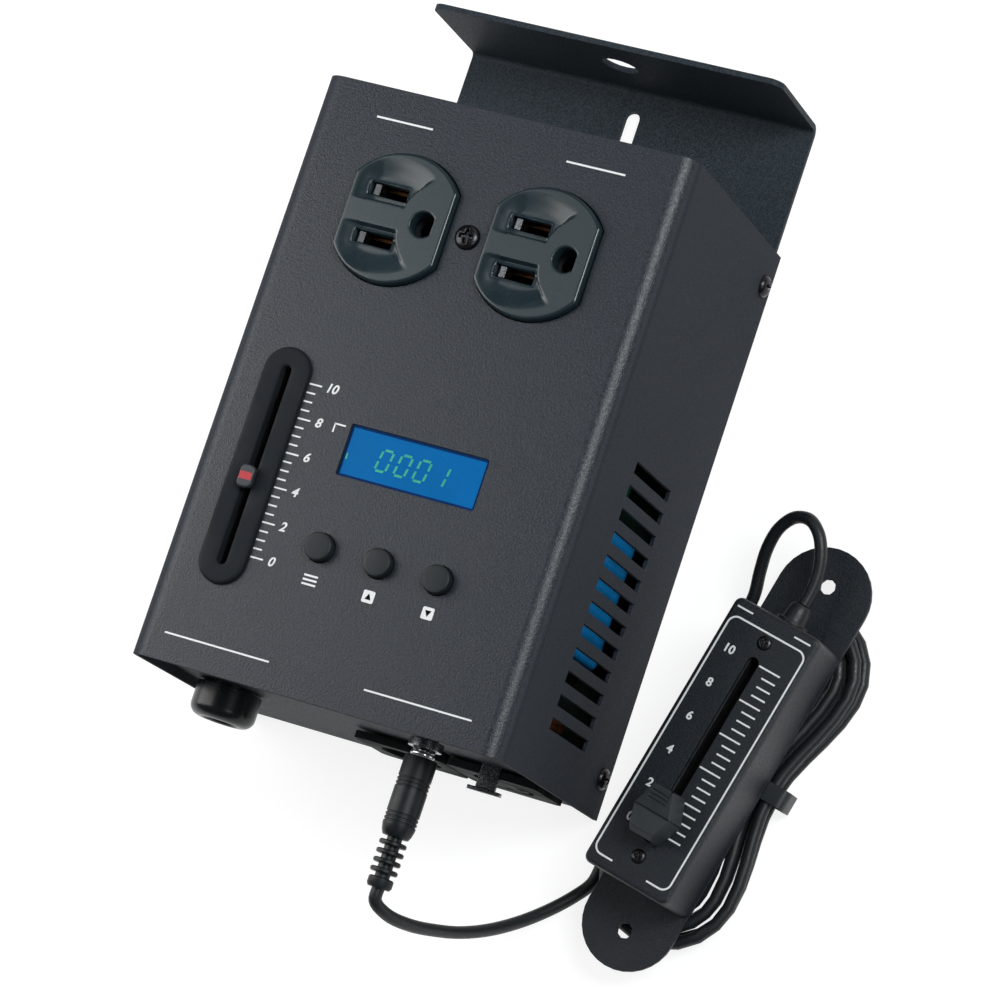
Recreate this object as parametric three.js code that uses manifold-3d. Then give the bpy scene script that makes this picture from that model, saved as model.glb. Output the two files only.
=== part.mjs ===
// A single channel dimmer pack with a duplex outlet, a panel fader and a wired remote fader.
// X runs to the right of the front face, Y up the face towards the mounting flange and Z out of it.
// The origin is the middle of the back, which lies on the floor. All lengths are in millimetres.
import * as THREE from 'three';
import { mergeVertices } from 'three/addons/utils/BufferGeometryUtils.js';
import Module from 'manifold-3d';

const wasm = await Module();
wasm.setup();

// Driving dimensions

const caseWidth = 102;
const caseHeight = 154;
const caseDepth = 80.5;
const coverSheet = 1.2;
const coverBend = 5;
const chassisSheet = 1.5;
const endRecess = 1.5;
const seat = 0.3;
const overrun = 1;
const arcSteps = 4;
const roundSteps = 8;
const half = 0.5;

const flange = { rise: 36, depth: 37, corner: 3.5, bend: 3, holeRadius: 5, holeShare: 0.58 };
const hangSlot = { width: 4, length: 18, fromFlange: 7.5 };
const sideScrew = { fromEnd: 10, height: 6.5, shank: 1.5, head: 3, headHeight: 1.9, length: 5 };
const tab = { width: 13, height: 12 };
const vent = { count: 12, pitch: 6.05, height: 3, low: 24, length: 30, fromBottom: 14.8 };
const endNotch = { width: 6, depth: 4, x: 2 };

const outlet = {
  pitch: 38.9, fromTop: 32.6, radius: 17, flat: 14, proud: 2.2, lip: 0.7,
  bladePitch: 12.6, bladeOffset: 4.2, bladeLength: 10.4, bladeWidth: 3.4,
  wellDepth: 1.3, groundOffset: 7.8, groundRadius: 3.2, groundFlat: 2.7,
  web: 3, bodyLength: 68, bodyWidth: 33, bodyDepth: 20, bodyCorner: 3, wall: 1.6,
};
const wellShares = [
  [-0.72, 0.16], [0.085, 0.16], [0.19, 0.36], [0.32, 0.64], [0.12, 0.77], [-0.3, 0.8], [-0.62, 0.66],
];
const strap = { length: 84, width: 8, thickness: 1.2, groundRing: 3.6 };
const contact = { length: 60, width: 4, depth: 12, leaf: 0.8 };
const centreScrew = { shank: 1.7, head: 3.4, headHeight: 1.6, length: 9 };

const travel = 45;
const bezel = { width: 12.6, proud: 1.5, margin: 8.5, soft: 0.8, tongue: 8, x: -34.2, y: -24.2 };
const leverSlot = { width: 2.6, remoteWidth: 3.2, clearance: 3.6 };
const lever = { width: 1.8, length: 4, capWidth: 4, capLength: 5.8, capHeight: 2, capCorner: 1.2, band: 0.4 };
const leverRest = -3.6;
const pot = { width: 9, margin: 15, depth: 8, wiper: 4 };

const screen = { width: 37.4, height: 13, x: 5.6, y: -14.4, glass: 1, border: 2, recess: 0.8 };
const digitBlock = { width: 36, height: 14, depth: 6.6 };
const key = {
  radius: 3.6, proud: 2.5, collar: 4.8, collarHeight: 1.2, stem: 1.4, into: 1.6, travel: 0.8,
  pitch: 16.1, y: -39.6, soft: 0.4,
};
const keySwitch = { size: 6.4, height: 3.6, floor: 0.8 };
const board = { thickness: 1.6, below: 8.7, left: -46, right: 34, low: -60, high: 4, postInset: 3.4 };
const post = { radius: 2.4 };

const powerBoard = { lift: 4.2, fromSide: 4.3, fromEnd: 2, length: 94, bossRadius: 3, bossInset: 5 };
const transformer = { width: 26, length: 35, height: 42, fromSide: 6, fromBottom: 52, core: 6, coreLip: 2 };
const reservoir = { radius: 8, height: 42, fromSide: 14.5, fromBottom: 82.5, soft: 1.6 };
const choke = { radius: 10, tube: 3.2, fromSide: 8.8, fromBottom: 19.1, turns: 16, bulge: 0.45 };
const sink = { width: 22, length: 30, height: 31, base: 3, fins: 6, fin: 1.4, x: -33, fromBottom: 55 };
const triac = { width: 10, length: 4.4, height: 15, tabHeight: 6, tabThickness: 1.3 };
const fuse = { length: 24, width: 9, height: 8, x: -2, fromBottom: 85, cap: 3.4, capLength: 3 };
const terminals = { count: 4, pitch: 5.08, depth: 10, height: 13, x: -34, fromBottom: 85, hole: 1.7, holeDepth: 5 };

const xlr = {
  flangeWidth: 25, flangeHeight: 24, flange: 2, corner: 2.5, barrel: 9.8, bore: 8.1, depth: 14, floor: 2,
  z: 26.6, x: 8, pitch: 26, pinCircle: 4.6, pin: 1.2, pinLength: 5, insertDepth: 1.6, socket: 1.3,
  plugRadius: 6.9, steps: 10,
};
const latch = { stem: 5.3, head: 9, thickness: 1.2, proud: 3.4, headThickness: 1, into: 7, travel: 1.5 };
const jack = {
  x: 24, z: 60, thread: 3, bore: 2.1, nut: 4.4, nutHeight: 2.2, proud: 0.6, body: 11, bodyHeight: 9, depth: 15,
};
const gland = {
  x: -38, z: 43, collar: 8.5, proud: 8.6, round: 3, bends: 3, thread: 7, bore: 4.2,
  depth: 9, nut: 10.5, nutHeight: 4, soft: 0.9,
};

const remote = {
  x: 81.6, y: -55.5, turn: -0.232, floor: 9, width: 25.4, length: 76, height: 19.3, sheet: 1.2, soft: 1.4,
  corner: 2,
  plate: 1.2, bottomEar: 20, topEar: 24, earHole: 2.05, holeFromEnd: 10,
  screwFromMiddle: 30.5, screwHead: 1.9, screwShank: 1.1, screwHeight: 0.7, screwLength: 5,
};
const remoteRest = 3;
const remoteLever = { width: 1.4, length: 4.4, tall: 9 };
const knob = {
  width: 12.4, endWidth: 6.8, length: 14, topWidth: 9.8, topEndWidth: 5.6, topLength: 13, height: 8.8, lift: 1,
  rise: 1.2, seam: 0.5, seamDepth: 0.45, shoulder: 1.4, grip: 0.3, grips: 4, gripPitch: 1.2, wall: 0.4, socket: 5,
};
const knobLine = { count: 3, length: 5, width: 0.45, depth: 0.35, first: 2.7, pitch: 1.05 };
const bushing = { flange: 4.4, flangeHeight: 1.4, body: 3.3, tip: 2.7, length: 6, height: 10 };

const cord = { diameter: 3.3, sides: 8, hankSides: 6, leadSteps: 60, loopSteps: 40 };
const plug = {
  pin: 1.75, pinLength: 14, ring: 3, ringHeight: 1, body: 4.2, bodyLength: 20.5, groove: 0.25,
  grooveWidth: 0.6, shoulder: 3.2, shoulderLength: 2.8, core: 1.9, rib: 3.5, ribs: 4, ribPitch: 2.3,
  collar: 3.2, collarLength: 2.6, sides: 14,
};
const plugGrooveShares = [0.27, 0.32, 0.37, 0.71, 0.76, 0.81];
const hank = {
  halfRun: 30, halfWidth: 19, step: 4.1, layer: 3.8, turnsIn: 2.5, climb: 0.25, turnsOut: 2.5, drawIn: 5,
  lift: 0.8, offset: 2, stepsPerTurn: 24, straight: 3.4,
};
const tie = { band: 0.5, width: 5 };

// Places that follow from the sizes

const innerHalf = caseWidth * half - coverSheet;
const plateHalf = innerHalf - seat;
const innerFront = caseDepth - coverSheet;
const bottomEdge = -caseHeight * half;
const topEdge = caseHeight * half;
const endFace = bottomEdge + endRecess;
const endInside = endFace + chassisSheet;
const boardTop = caseDepth - coverSheet - board.below - seat;
const powerTop = chassisSheet + powerBoard.lift + board.thickness;
const partFloor = powerTop + seat;
const cordRadius = cord.diameter * half;
const boardSide = innerHalf - powerBoard.fromSide;
const boardLow = endInside + powerBoard.fromEnd;
const boardHigh = boardLow + powerBoard.length;
const upFromBottom = (piece) => bottomEdge + piece.fromBottom;

// Materials

const paint = (color, roughness, metalness) => new THREE.MeshStandardMaterial({ color, roughness, metalness });
const looks = {
  powderCoat: paint(0x26282b, 0.55, 0.3),
  blackMetal: paint(0x1a1b1d, 0.4, 0.6),
  steel: paint(0xa8abb0, 0.35, 0.9),
  brass: paint(0xb5924c, 0.35, 0.9),
  aluminium: paint(0x8f9296, 0.45, 0.85),
  blackPlastic: paint(0x17181a, 0.4, 0),
  glossPlastic: paint(0x101113, 0.2, 0),
  blueGlass: paint(0x1b4c9c, 0.2, 0),
  greyPlastic: paint(0x2c2f33, 0.5, 0),
  circuit: paint(0x1c4a30, 0.5, 0.1),
  blue: paint(0x1f56a8, 0.35, 0),
  green: paint(0x1f8a55, 0.35, 0),
  copper: paint(0xa5643a, 0.4, 0.7),
  rubber: paint(0x151618, 0.6, 0),
  nickel: paint(0xc4c6c8, 0.25, 1),
};

// Solids: closed meshes are joined and cut as manifolds and come back as geometry

function signedVolume(points, faces) {
  const corners = [new THREE.Vector3(), new THREE.Vector3(), new THREE.Vector3()];
  let sum = 0;
  for (let i = 0; i < faces.length; i += 3) {
    corners.forEach((corner, k) => corner.fromArray(points, faces[i + k] * 3));
    sum += corners[0].dot(corners[1].cross(corners[2]));
  }
  return sum;
}

function solidOf(geometry) {
  const bare = geometry.clone();
  bare.deleteAttribute('normal');
  bare.deleteAttribute('uv');
  const merged = mergeVertices(bare);
  const points = new Float32Array(merged.attributes.position.array);
  const faces = [];
  for (let i = 0; i < merged.index.count; i += 3) {
    const [a, b, c] = [0, 1, 2].map((k) => merged.index.getX(i + k));
    if (a !== b && b !== c && c !== a) faces.push(a, b, c);
  }
  if (signedVolume(points, faces) < 0) faces.reverse();
  return new wasm.Manifold(new wasm.Mesh({ numProp: 3, vertProperties: points, triVerts: new Uint32Array(faces) }));
}

function geometryOf(solid) {
  const mesh = solid.getMesh();
  const geometry = new THREE.BufferGeometry();
  geometry.setAttribute('position', new THREE.BufferAttribute(new Float32Array(mesh.vertProperties), 3));
  geometry.setIndex(new THREE.BufferAttribute(new Uint32Array(mesh.triVerts), 1));
  return geometry;
}

const join = (...pieces) => geometryOf(pieces.map(solidOf).reduce((sum, piece) => sum.add(piece)));
const cut = (base, ...tools) => {
  return geometryOf(tools.map(solidOf).reduce((sum, tool) => sum.subtract(tool), solidOf(base)));
};
const keep = (base, region) => geometryOf(solidOf(base).intersect(solidOf(region)));

// Outlines

function rectangle(left, right, low, high) {
  const shape = new THREE.Shape();
  shape.moveTo(left, low);
  shape.lineTo(right, low);
  shape.lineTo(right, high);
  shape.lineTo(left, high);
  shape.closePath();
  return shape;
}

function centredRectangle(width, height) {
  return rectangle(-width * half, width * half, -height * half, height * half);
}

function roundedRectangle(width, height, radius) {
  const x = width * half;
  const y = height * half;
  const shape = new THREE.Shape();
  shape.absarc(x - radius, radius - y, radius, -Math.PI * half, 0, false);
  shape.absarc(x - radius, y - radius, radius, 0, Math.PI * half, false);
  shape.absarc(radius - x, y - radius, radius, Math.PI * half, Math.PI, false);
  shape.absarc(radius - x, radius - y, radius, Math.PI, Math.PI * (1 + half), false);
  shape.closePath();
  return shape;
}

function roundFronted(halfWidth, depth, radius) {
  const shape = new THREE.Shape();
  shape.moveTo(-halfWidth, 0);
  shape.lineTo(halfWidth, 0);
  shape.absarc(halfWidth - radius, depth - radius, radius, 0, Math.PI * half, false);
  shape.absarc(radius - halfWidth, depth - radius, radius, Math.PI * half, Math.PI, false);
  shape.closePath();
  return shape;
}

function stadium(width, length) {
  const radius = width * half;
  const straight = length * half - radius;
  const shape = new THREE.Shape();
  shape.absarc(0, straight, radius, 0, Math.PI, false);
  shape.absarc(0, -straight, radius, Math.PI, Math.PI * 2, false);
  shape.closePath();
  return shape;
}

function disc(radius) {
  const shape = new THREE.Shape();
  shape.absarc(0, 0, radius, 0, Math.PI * 2, false);
  return shape;
}

function flattedDisc(radius, flat) {
  const angle = Math.acos(flat / radius);
  const shape = new THREE.Shape();
  shape.absarc(0, 0, radius, angle, Math.PI - angle, false);
  shape.absarc(0, 0, radius, Math.PI + angle, Math.PI * 2 - angle, false);
  shape.closePath();
  return shape;
}

function groundOutline(radius, flat) {
  const angle = Math.acos(flat / radius);
  const shape = new THREE.Shape();
  shape.absarc(0, 0, radius, angle, Math.PI * 2 - angle, false);
  shape.closePath();
  return shape;
}

function polygon(points) {
  return new THREE.Shape(points.map(([x, y]) => new THREE.Vector2(x, y)));
}

// Extrusions along each axis, from one station to another

const towardsY = new THREE.Matrix4().makeBasis(
  new THREE.Vector3(1, 0, 0), new THREE.Vector3(0, 0, 1), new THREE.Vector3(0, -1, 0),
);
const towardsX = new THREE.Matrix4().makeBasis(
  new THREE.Vector3(0, 1, 0), new THREE.Vector3(0, 0, 1), new THREE.Vector3(1, 0, 0),
);

function alongZ(shape, low, high, steps = arcSteps) {
  const settings = { depth: high - low, bevelEnabled: false, curveSegments: steps };
  return new THREE.ExtrudeGeometry(shape, settings).translate(0, 0, low);
}

function alongY(shape, low, high, steps = arcSteps) {
  const settings = { depth: high - low, bevelEnabled: false, curveSegments: steps };
  return new THREE.ExtrudeGeometry(shape, settings).applyMatrix4(towardsY).translate(0, high, 0);
}

function alongX(shape, low, high, steps = arcSteps) {
  const settings = { depth: high - low, bevelEnabled: false, curveSegments: steps };
  return new THREE.ExtrudeGeometry(shape, settings).applyMatrix4(towardsX).translate(low, 0, 0);
}

function softTopped(shape, low, high, soft, steps = arcSteps) {
  const settings = {
    depth: high - low - soft * 2, bevelEnabled: true, bevelThickness: soft, bevelSize: soft,
    bevelOffset: -soft, bevelSegments: 2, curveSegments: steps,
  };
  return new THREE.ExtrudeGeometry(shape, settings).translate(0, 0, low + soft);
}

function block(width, length, low, high) {
  return alongZ(centredRectangle(width, length), low, high);
}

// The pack, the remote and the function that adds a named mesh to one of them

const pack = new THREE.Group();
const remoteGroup = new THREE.Group();
remoteGroup.position.set(remote.x, remote.y, 0);
remoteGroup.rotation.z = remote.turn;
pack.add(remoteGroup);

function add(name, geometry, look, group = pack) {
  const mesh = new THREE.Mesh(geometryOf(solidOf(geometry)), look);
  mesh.name = name;
  group.add(mesh);
  return mesh;
}

// Folded chassis: bottom end panel, back plate and mounting flange bent from one sheet

function chassisStrip() {
  const flangeY = topEdge + flange.rise;
  const outer = flange.bend;
  const inner = outer - chassisSheet;
  const frontOfEnd = innerFront - seat;
  const strip = new THREE.Shape();
  strip.moveTo(endFace, frontOfEnd);
  strip.absarc(endFace + outer, outer, outer, Math.PI, Math.PI * (1 + half), false);
  strip.absarc(flangeY - outer, outer, outer, -Math.PI * half, 0, false);
  strip.lineTo(flangeY, flange.depth);
  strip.lineTo(flangeY - chassisSheet, flange.depth);
  strip.absarc(flangeY - outer, outer, inner, 0, -Math.PI * half, true);
  strip.absarc(endFace + outer, outer, inner, Math.PI * (1 + half), Math.PI, true);
  strip.lineTo(endInside, frontOfEnd);
  strip.closePath();
  return alongX(strip, -plateHalf, plateHalf);
}

function chassisTabs() {
  const tabs = [];
  for (const sideX of [-1, 1]) {
    for (const sideY of [-1, 1]) {
      const inside = sideX * (plateHalf - chassisSheet * half);
      const middle = sideY * (topEdge - sideScrew.fromEnd);
      tabs.push(block(chassisSheet, tab.width, chassisSheet * half, tab.height).translate(inside, middle, 0));
    }
  }
  return tabs;
}

function powerBosses() {
  const bosses = [];
  for (const x of [-1, 1].map((side) => side * (boardSide - powerBoard.bossInset))) {
    for (const y of [boardLow + powerBoard.bossInset, boardHigh - powerBoard.bossInset]) {
      const top = chassisSheet + powerBoard.lift - seat;
      bosses.push(alongZ(disc(powerBoard.bossRadius), chassisSheet * half, top).translate(x, y, 0));
    }
  }
  return bosses;
}

function sideScrewBores(radius) {
  const reach = caseWidth * half + overrun;
  return [-1, 1].map((side) => {
    const bore = alongX(disc(radius), -reach, reach);
    return bore.translate(0, side * (topEdge - sideScrew.fromEnd), sideScrew.height);
  });
}

function endPanelHoles(grow) {
  const [low, high] = [endFace - overrun, endInside + overrun];
  const across = (shape, x, z, steps) => alongY(shape, low, high, steps).translate(x, 0, z);
  const holes = [across(disc(gland.thread + grow), gland.x, gland.z, roundSteps)];
  holes.push(across(disc(jack.thread + grow), jack.x, jack.z, arcSteps));
  for (const x of [xlr.x, xlr.x + xlr.pitch]) holes.push(across(disc(xlr.barrel + grow), x, xlr.z, xlr.steps));
  const stemHalf = latch.stem * half + grow;
  const slot = rectangle(-stemHalf, stemHalf, xlr.z - latchZ(), latch.thickness + grow);
  holes.push(across(slot, xlr.x + xlr.pitch, latchZ(), arcSteps));
  const notchTop = innerFront - seat + overrun;
  const notchHalf = endNotch.width * half;
  const notch = rectangle(-notchHalf, notchHalf, notchTop - endNotch.depth - overrun, notchTop);
  holes.push(across(notch, endNotch.x, 0, arcSteps));
  return holes;
}

function latchZ() {
  return xlr.z + xlr.barrel + seat * 2 + latch.thickness;
}

function buildChassis() {
  const boxOutline = roundFronted(plateHalf, innerFront - seat, coverBend - coverSheet - seat);
  const boxPart = alongY(boxOutline, endFace - overrun, topEdge);
  const flangeTop = topEdge + flange.rise + overrun;
  const flangePart = alongY(roundFronted(plateHalf, flange.depth, flange.corner), topEdge - overrun, flangeTop);
  const sheet = keep(chassisStrip(), join(boxPart, flangePart));
  const holeZ = flange.depth * flange.holeShare;
  const flangeY = topEdge + flange.rise;
  const hole = alongY(disc(flange.holeRadius), flangeY - chassisSheet - overrun, flangeTop, roundSteps);
  const slotY = flangeY - hangSlot.fromFlange - hangSlot.length * half;
  const slotOutline = stadium(hangSlot.width, hangSlot.length);
  const slot = alongZ(slotOutline, -overrun, chassisSheet + overrun).translate(0, slotY, 0);
  const body = join(sheet, ...chassisTabs(), ...powerBosses());
  const bores = sideScrewBores(sideScrew.shank + seat);
  return cut(body, hole.translate(0, 0, holeZ), slot, ...bores, ...endPanelHoles(seat));
}

function buildTopPanel() {
  const depth = innerFront - seat - chassisSheet - seat;
  const outline = roundFronted(plateHalf, depth, coverBend - coverSheet - seat);
  const [low, high] = [topEdge - endRecess - chassisSheet, topEdge - endRecess];
  const foot = block(plateHalf, tab.height, 0, chassisSheet).translate(0, high - tab.height * half, 0);
  return join(alongY(outline, low, high), foot).translate(0, 0, chassisSheet + seat);
}

// Folded cover with its front cut-outs, side vents and screw holes

function outletCentres() {
  const y = topEdge - outlet.fromTop;
  return [-1, 1].map((side) => [side * outlet.pitch * half, y]);
}

function keyPlaces() {
  return [-1, 0, 1].map((k) => [screen.x + k * key.pitch, key.y]);
}

function coverShell() {
  const x = caseWidth * half;
  const bend = caseDepth - coverBend;
  const inner = coverBend - coverSheet;
  const shape = new THREE.Shape();
  shape.moveTo(x - coverSheet, 0);
  shape.lineTo(x, 0);
  shape.absarc(x - coverBend, bend, coverBend, 0, Math.PI * half, false);
  shape.absarc(coverBend - x, bend, coverBend, Math.PI * half, Math.PI, false);
  shape.lineTo(-x, 0);
  shape.lineTo(coverSheet - x, 0);
  shape.absarc(coverBend - x, bend, inner, Math.PI, Math.PI * half, true);
  shape.absarc(x - coverBend, bend, inner, Math.PI * half, 0, true);
  shape.closePath();
  return alongY(shape, bottomEdge, topEdge);
}

function ventSlots() {
  const reach = caseWidth * half + overrun;
  const slots = [];
  for (let k = 0; k < vent.count; k += 1) {
    const y = bottomEdge + vent.fromBottom + k * vent.pitch;
    const outline = rectangle(y - vent.height * half, y + vent.height * half, vent.low, vent.low + vent.length);
    slots.push(alongX(outline, -reach, reach));
  }
  return slots;
}

function buildCover() {
  const through = (shape, x, y, steps) => {
    return alongZ(shape, innerFront - overrun, caseDepth + overrun, steps).translate(x, y, 0);
  };
  const [left, right] = outletCentres();
  const openings = [left, right].map(([x, y]) => {
    return through(flattedDisc(outlet.radius + seat, outlet.flat + seat), x, y, roundSteps);
  });
  openings.push(through(disc(centreScrew.shank + seat), 0, left[1]));
  const tongueOutline = stadium(bezel.tongue + seat * 2, bezelLength() - bezel.width + bezel.tongue);
  openings.push(through(tongueOutline, bezel.x, bezel.y));
  const windowHole = roundedRectangle(screen.width + seat, screen.height + seat, seat * 2);
  openings.push(through(windowHole, screen.x, screen.y, 1));
  for (const [x, y] of keyPlaces()) openings.push(through(disc(key.radius + seat), x, y, roundSteps));
  return cut(coverShell(), ...openings, ...ventSlots(), ...sideScrewBores(sideScrew.shank + seat));
}

function panScrew(shank, head, headHeight, length) {
  const profile = [
    new THREE.Vector2(0, -length),
    new THREE.Vector2(shank, -length),
    new THREE.Vector2(shank, 0),
    new THREE.Vector2(head, 0),
    new THREE.Vector2(head, headHeight * half),
    new THREE.Vector2(head * half, headHeight),
    new THREE.Vector2(0, headHeight),
  ];
  return new THREE.LatheGeometry(profile, roundSteps * 2);
}

function addCoverScrews() {
  let number = 1;
  for (const sideX of [1, -1]) {
    for (const sideY of [1, -1]) {
      const screw = panScrew(sideScrew.shank, sideScrew.head, sideScrew.headHeight, sideScrew.length);
      screw.rotateZ(-sideX * Math.PI * half);
      screw.translate(sideX * caseWidth * half, sideY * (topEdge - sideScrew.fromEnd), sideScrew.height);
      add(`cover_screw_${number}`, screw, looks.blackMetal);
      number += 1;
    }
  }
}

// Duplex outlet: moulded face, grounding strap, rear body, two contact strips and one screw

const webTop = innerFront - seat;
const webLow = webTop - outlet.web;
const outletBodyTop = webLow - seat;
const strapTop = outletBodyTop - seat;
const strapLow = strapTop - strap.thickness;
const contactTop = outletBodyTop - seat;

function bladePlaces() {
  const places = [];
  for (const [x, y] of outletCentres()) {
    for (const side of [-1, 1]) places.push([x - outlet.bladeOffset, y + side * outlet.bladePitch * half]);
  }
  return places;
}

function buildOutletFace() {
  const top = caseDepth + outlet.proud;
  const centres = outletCentres();
  const web = alongZ(roundedRectangle(outlet.bodyLength, outlet.bodyWidth, outlet.bodyCorner), webLow, webTop);
  const pads = centres.map(([x, y]) => {
    const pad = softTopped(flattedDisc(outlet.radius, outlet.flat), webLow, top, outlet.lip, roundSteps);
    return pad.translate(x, y, 0);
  });
  const raised = join(web.translate(0, centres[0][1], 0), ...pads);
  const slots = bladePlaces().map(([x, y]) => {
    return block(outlet.bladeLength, outlet.bladeWidth, webLow - overrun, top + overrun).translate(x, y, 0);
  });
  const wells = centres.flatMap(([x, y]) => [-1, 1].map((side) => {
    const outline = wellShares.map(([u, v]) => [u * outlet.radius, side * v * outlet.radius]);
    return alongZ(polygon(outline), top - outlet.wellDepth, top + overrun).translate(x, y, 0);
  }));
  const grounds = centres.map(([x, y]) => {
    const hole = alongZ(groundOutline(outlet.groundRadius, outlet.groundFlat), webLow - overrun, top + overrun);
    return hole.translate(x + outlet.groundOffset, y, 0);
  });
  const bore = alongZ(disc(centreScrew.shank + seat), webLow - overrun, top).translate(0, centres[0][1], 0);
  return cut(raised, ...slots, ...wells, ...grounds, bore);
}

function buildOutletStrap() {
  const y = outletCentres()[0][1];
  const plate = alongZ(roundedRectangle(strap.length, strap.width, strap.width / 3), strapLow, strapTop);
  const rings = outletCentres().map(([x]) => {
    const bore = alongZ(disc(outlet.groundRadius), strapLow - overrun, strapTop + overrun);
    return bore.translate(x + outlet.groundOffset, 0, 0);
  });
  const bore = alongZ(disc(centreScrew.shank + seat), strapLow - overrun, strapTop + overrun);
  return cut(plate, ...rings, bore).translate(0, y, 0);
}

function buildOutletBody() {
  const [centre] = outletCentres();
  const low = outletBodyTop - outlet.bodyDepth;
  const outline = roundedRectangle(outlet.bodyLength, outlet.bodyWidth, outlet.bodyCorner);
  const body = alongZ(outline, low, outletBodyTop).translate(0, centre[1], 0);
  const room = seat * 2;
  const above = outletBodyTop + overrun;
  const channel = block(outlet.bodyLength + overrun * 2, strap.width + room, strapLow - seat, above);
  const pockets = [-1, 1].map((side) => {
    const pocket = block(contact.length + room, contact.width + room, contactTop - contact.depth - seat, above);
    return pocket.translate(0, centre[1] + side * outlet.bladePitch * half, 0);
  });
  const wells = outletCentres().map(([x, y]) => {
    const well = alongZ(disc(outlet.groundRadius), low + outlet.wall, outletBodyTop + overrun);
    return well.translate(x + outlet.groundOffset, y, 0);
  });
  const bore = alongZ(disc(centreScrew.shank + seat), low + outlet.wall, outletBodyTop).translate(0, centre[1], 0);
  return cut(body, channel.translate(0, centre[1], 0), ...pockets, ...wells, bore);
}

function buildContact(side) {
  const y = outletCentres()[0][1] + side * outlet.bladePitch * half;
  const outer = contact.width * half;
  const [low, high] = [contactTop - contact.depth, contactTop];
  const leaves = polygon([
    [-outer, low], [outer, low], [outer, high], [outer - contact.leaf, high],
    [contact.leaf, low + contact.leaf * 2], [-contact.leaf, low + contact.leaf * 2],
    [contact.leaf - outer, high], [-outer, high],
  ]);
  return alongX(leaves, -contact.length * half, contact.length * half).translate(0, y, 0);
}

function addOutlet() {
  add('outlet_face', buildOutletFace(), looks.blackPlastic);
  add('outlet_strap', buildOutletStrap(), looks.steel);
  add('outlet_body', buildOutletBody(), looks.greyPlastic);
  add('outlet_contact_hot', buildContact(1), looks.brass);
  add('outlet_contact_neutral', buildContact(-1), looks.nickel);
  const screw = panScrew(centreScrew.shank, centreScrew.head, centreScrew.headHeight, centreScrew.length);
  screw.rotateX(Math.PI * half).translate(0, outletCentres()[0][1], caseDepth);
  add('outlet_screw', screw, looks.blackMetal);
}

// Panel fader: bezel in the cover, slide potentiometer below it and the capped lever

function bezelLength() {
  return travel + bezel.margin * 2;
}

function leverSlotLength() {
  return travel + lever.length + leverSlot.clearance;
}

function buildBezel() {
  const rimOutline = stadium(bezel.width, bezelLength());
  const rimTop = caseDepth + bezel.proud;
  const rim = softTopped(rimOutline, caseDepth - bezel.soft * 2, rimTop, bezel.soft);
  const aboveFace = block(bezel.width * 2, bezelLength() * 2, caseDepth, caseDepth + bezel.proud + overrun);
  const tongueLength = bezelLength() - bezel.width + bezel.tongue - seat * 2;
  const tongue = alongZ(stadium(bezel.tongue, tongueLength), innerFront, caseDepth + bezel.proud * half);
  const slot = alongZ(stadium(leverSlot.width, leverSlotLength()), innerFront - overrun, rimTop + overrun);
  return cut(join(keep(rim, aboveFace), tongue), slot).translate(bezel.x, bezel.y, 0);
}

function buildPot(width, slotWidth, length, low, high, slotDepth) {
  const can = block(width, length, low, high);
  const slot = block(slotWidth, leverSlotLength(), high - slotDepth, high + overrun);
  const rails = [-1, 1].map((side) => {
    return block(width + overrun, slotWidth * half, high - slotWidth, high + overrun).translate(0, side * length * half, 0);
  });
  return cut(can, slot, ...rails);
}

function buildPanelLever(potTop) {
  const base = caseDepth + bezel.proud + lever.band;
  const stem = block(lever.width, lever.length, potTop - pot.wiper, base + lever.capHeight * half);
  const capOutline = roundedRectangle(lever.capWidth, lever.capLength, lever.capCorner);
  const cap = softTopped(capOutline, base, base + lever.capHeight, lever.band, 1);
  return join(stem, cap);
}

function addPanelFader() {
  const potTop = innerFront - seat;
  const potLow = Math.max(boardTop + seat, potTop - pot.depth);
  const length = travel + pot.margin;
  add('fader_bezel', buildBezel(), looks.blackPlastic);
  const body = buildPot(pot.width, leverSlot.width, length, potLow, potTop, pot.wiper + seat * 2);
  add('fader_pot', body.translate(bezel.x, bezel.y, 0), looks.steel);
  add('fader_lever', buildPanelLever(potTop).translate(bezel.x, bezel.y + leverRest, 0), looks.glossPlastic);
}

// Display window, digit block, keys and the board that carries them

function addControls() {
  const glassTop = caseDepth - screen.recess;
  const glassOutline = roundedRectangle(screen.width - seat, screen.height - seat, seat);
  const pane = alongZ(glassOutline, innerFront - seat - screen.glass * half, glassTop, 1);
  const rimLow = innerFront - seat - screen.glass;
  const rim = block(screen.width + screen.border * 2, screen.height + screen.border * 2, rimLow, innerFront - seat);
  add('display_window', join(pane, rim).translate(screen.x, screen.y, 0), looks.blueGlass);
  const blockTop = Math.min(boardTop + seat + digitBlock.depth, rimLow - seat);
  const digits = block(digitBlock.width, digitBlock.height, boardTop + seat, blockTop);
  add('display_module', digits.translate(screen.x, screen.y, 0), looks.greyPlastic);
  const plate = rectangle(board.left, board.right, board.low, board.high);
  add('control_board', alongZ(plate, boardTop - board.thickness, boardTop), looks.circuit);
  const names = ['menu', 'up', 'down'];
  keyPlaces().forEach(([x, y], k) => {
    add(`${names[k]}_button`, buildKey().translate(x, y, 0), looks.blackPlastic);
    add(`${names[k]}_switch`, buildKeySwitch().translate(x, y, 0), looks.greyPlastic);
  });
}

function buildKey() {
  const collarTop = innerFront - seat;
  const switchTop = boardTop + seat + keySwitch.height;
  const cap = softTopped(disc(key.radius), collarTop - key.collarHeight, caseDepth + key.proud, key.soft, roundSteps);
  const collar = alongZ(disc(key.collar), collarTop - key.collarHeight, collarTop, roundSteps);
  const stem = alongZ(disc(key.stem), switchTop - key.into, collarTop, arcSteps);
  return join(cap, collar, stem);
}

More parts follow.
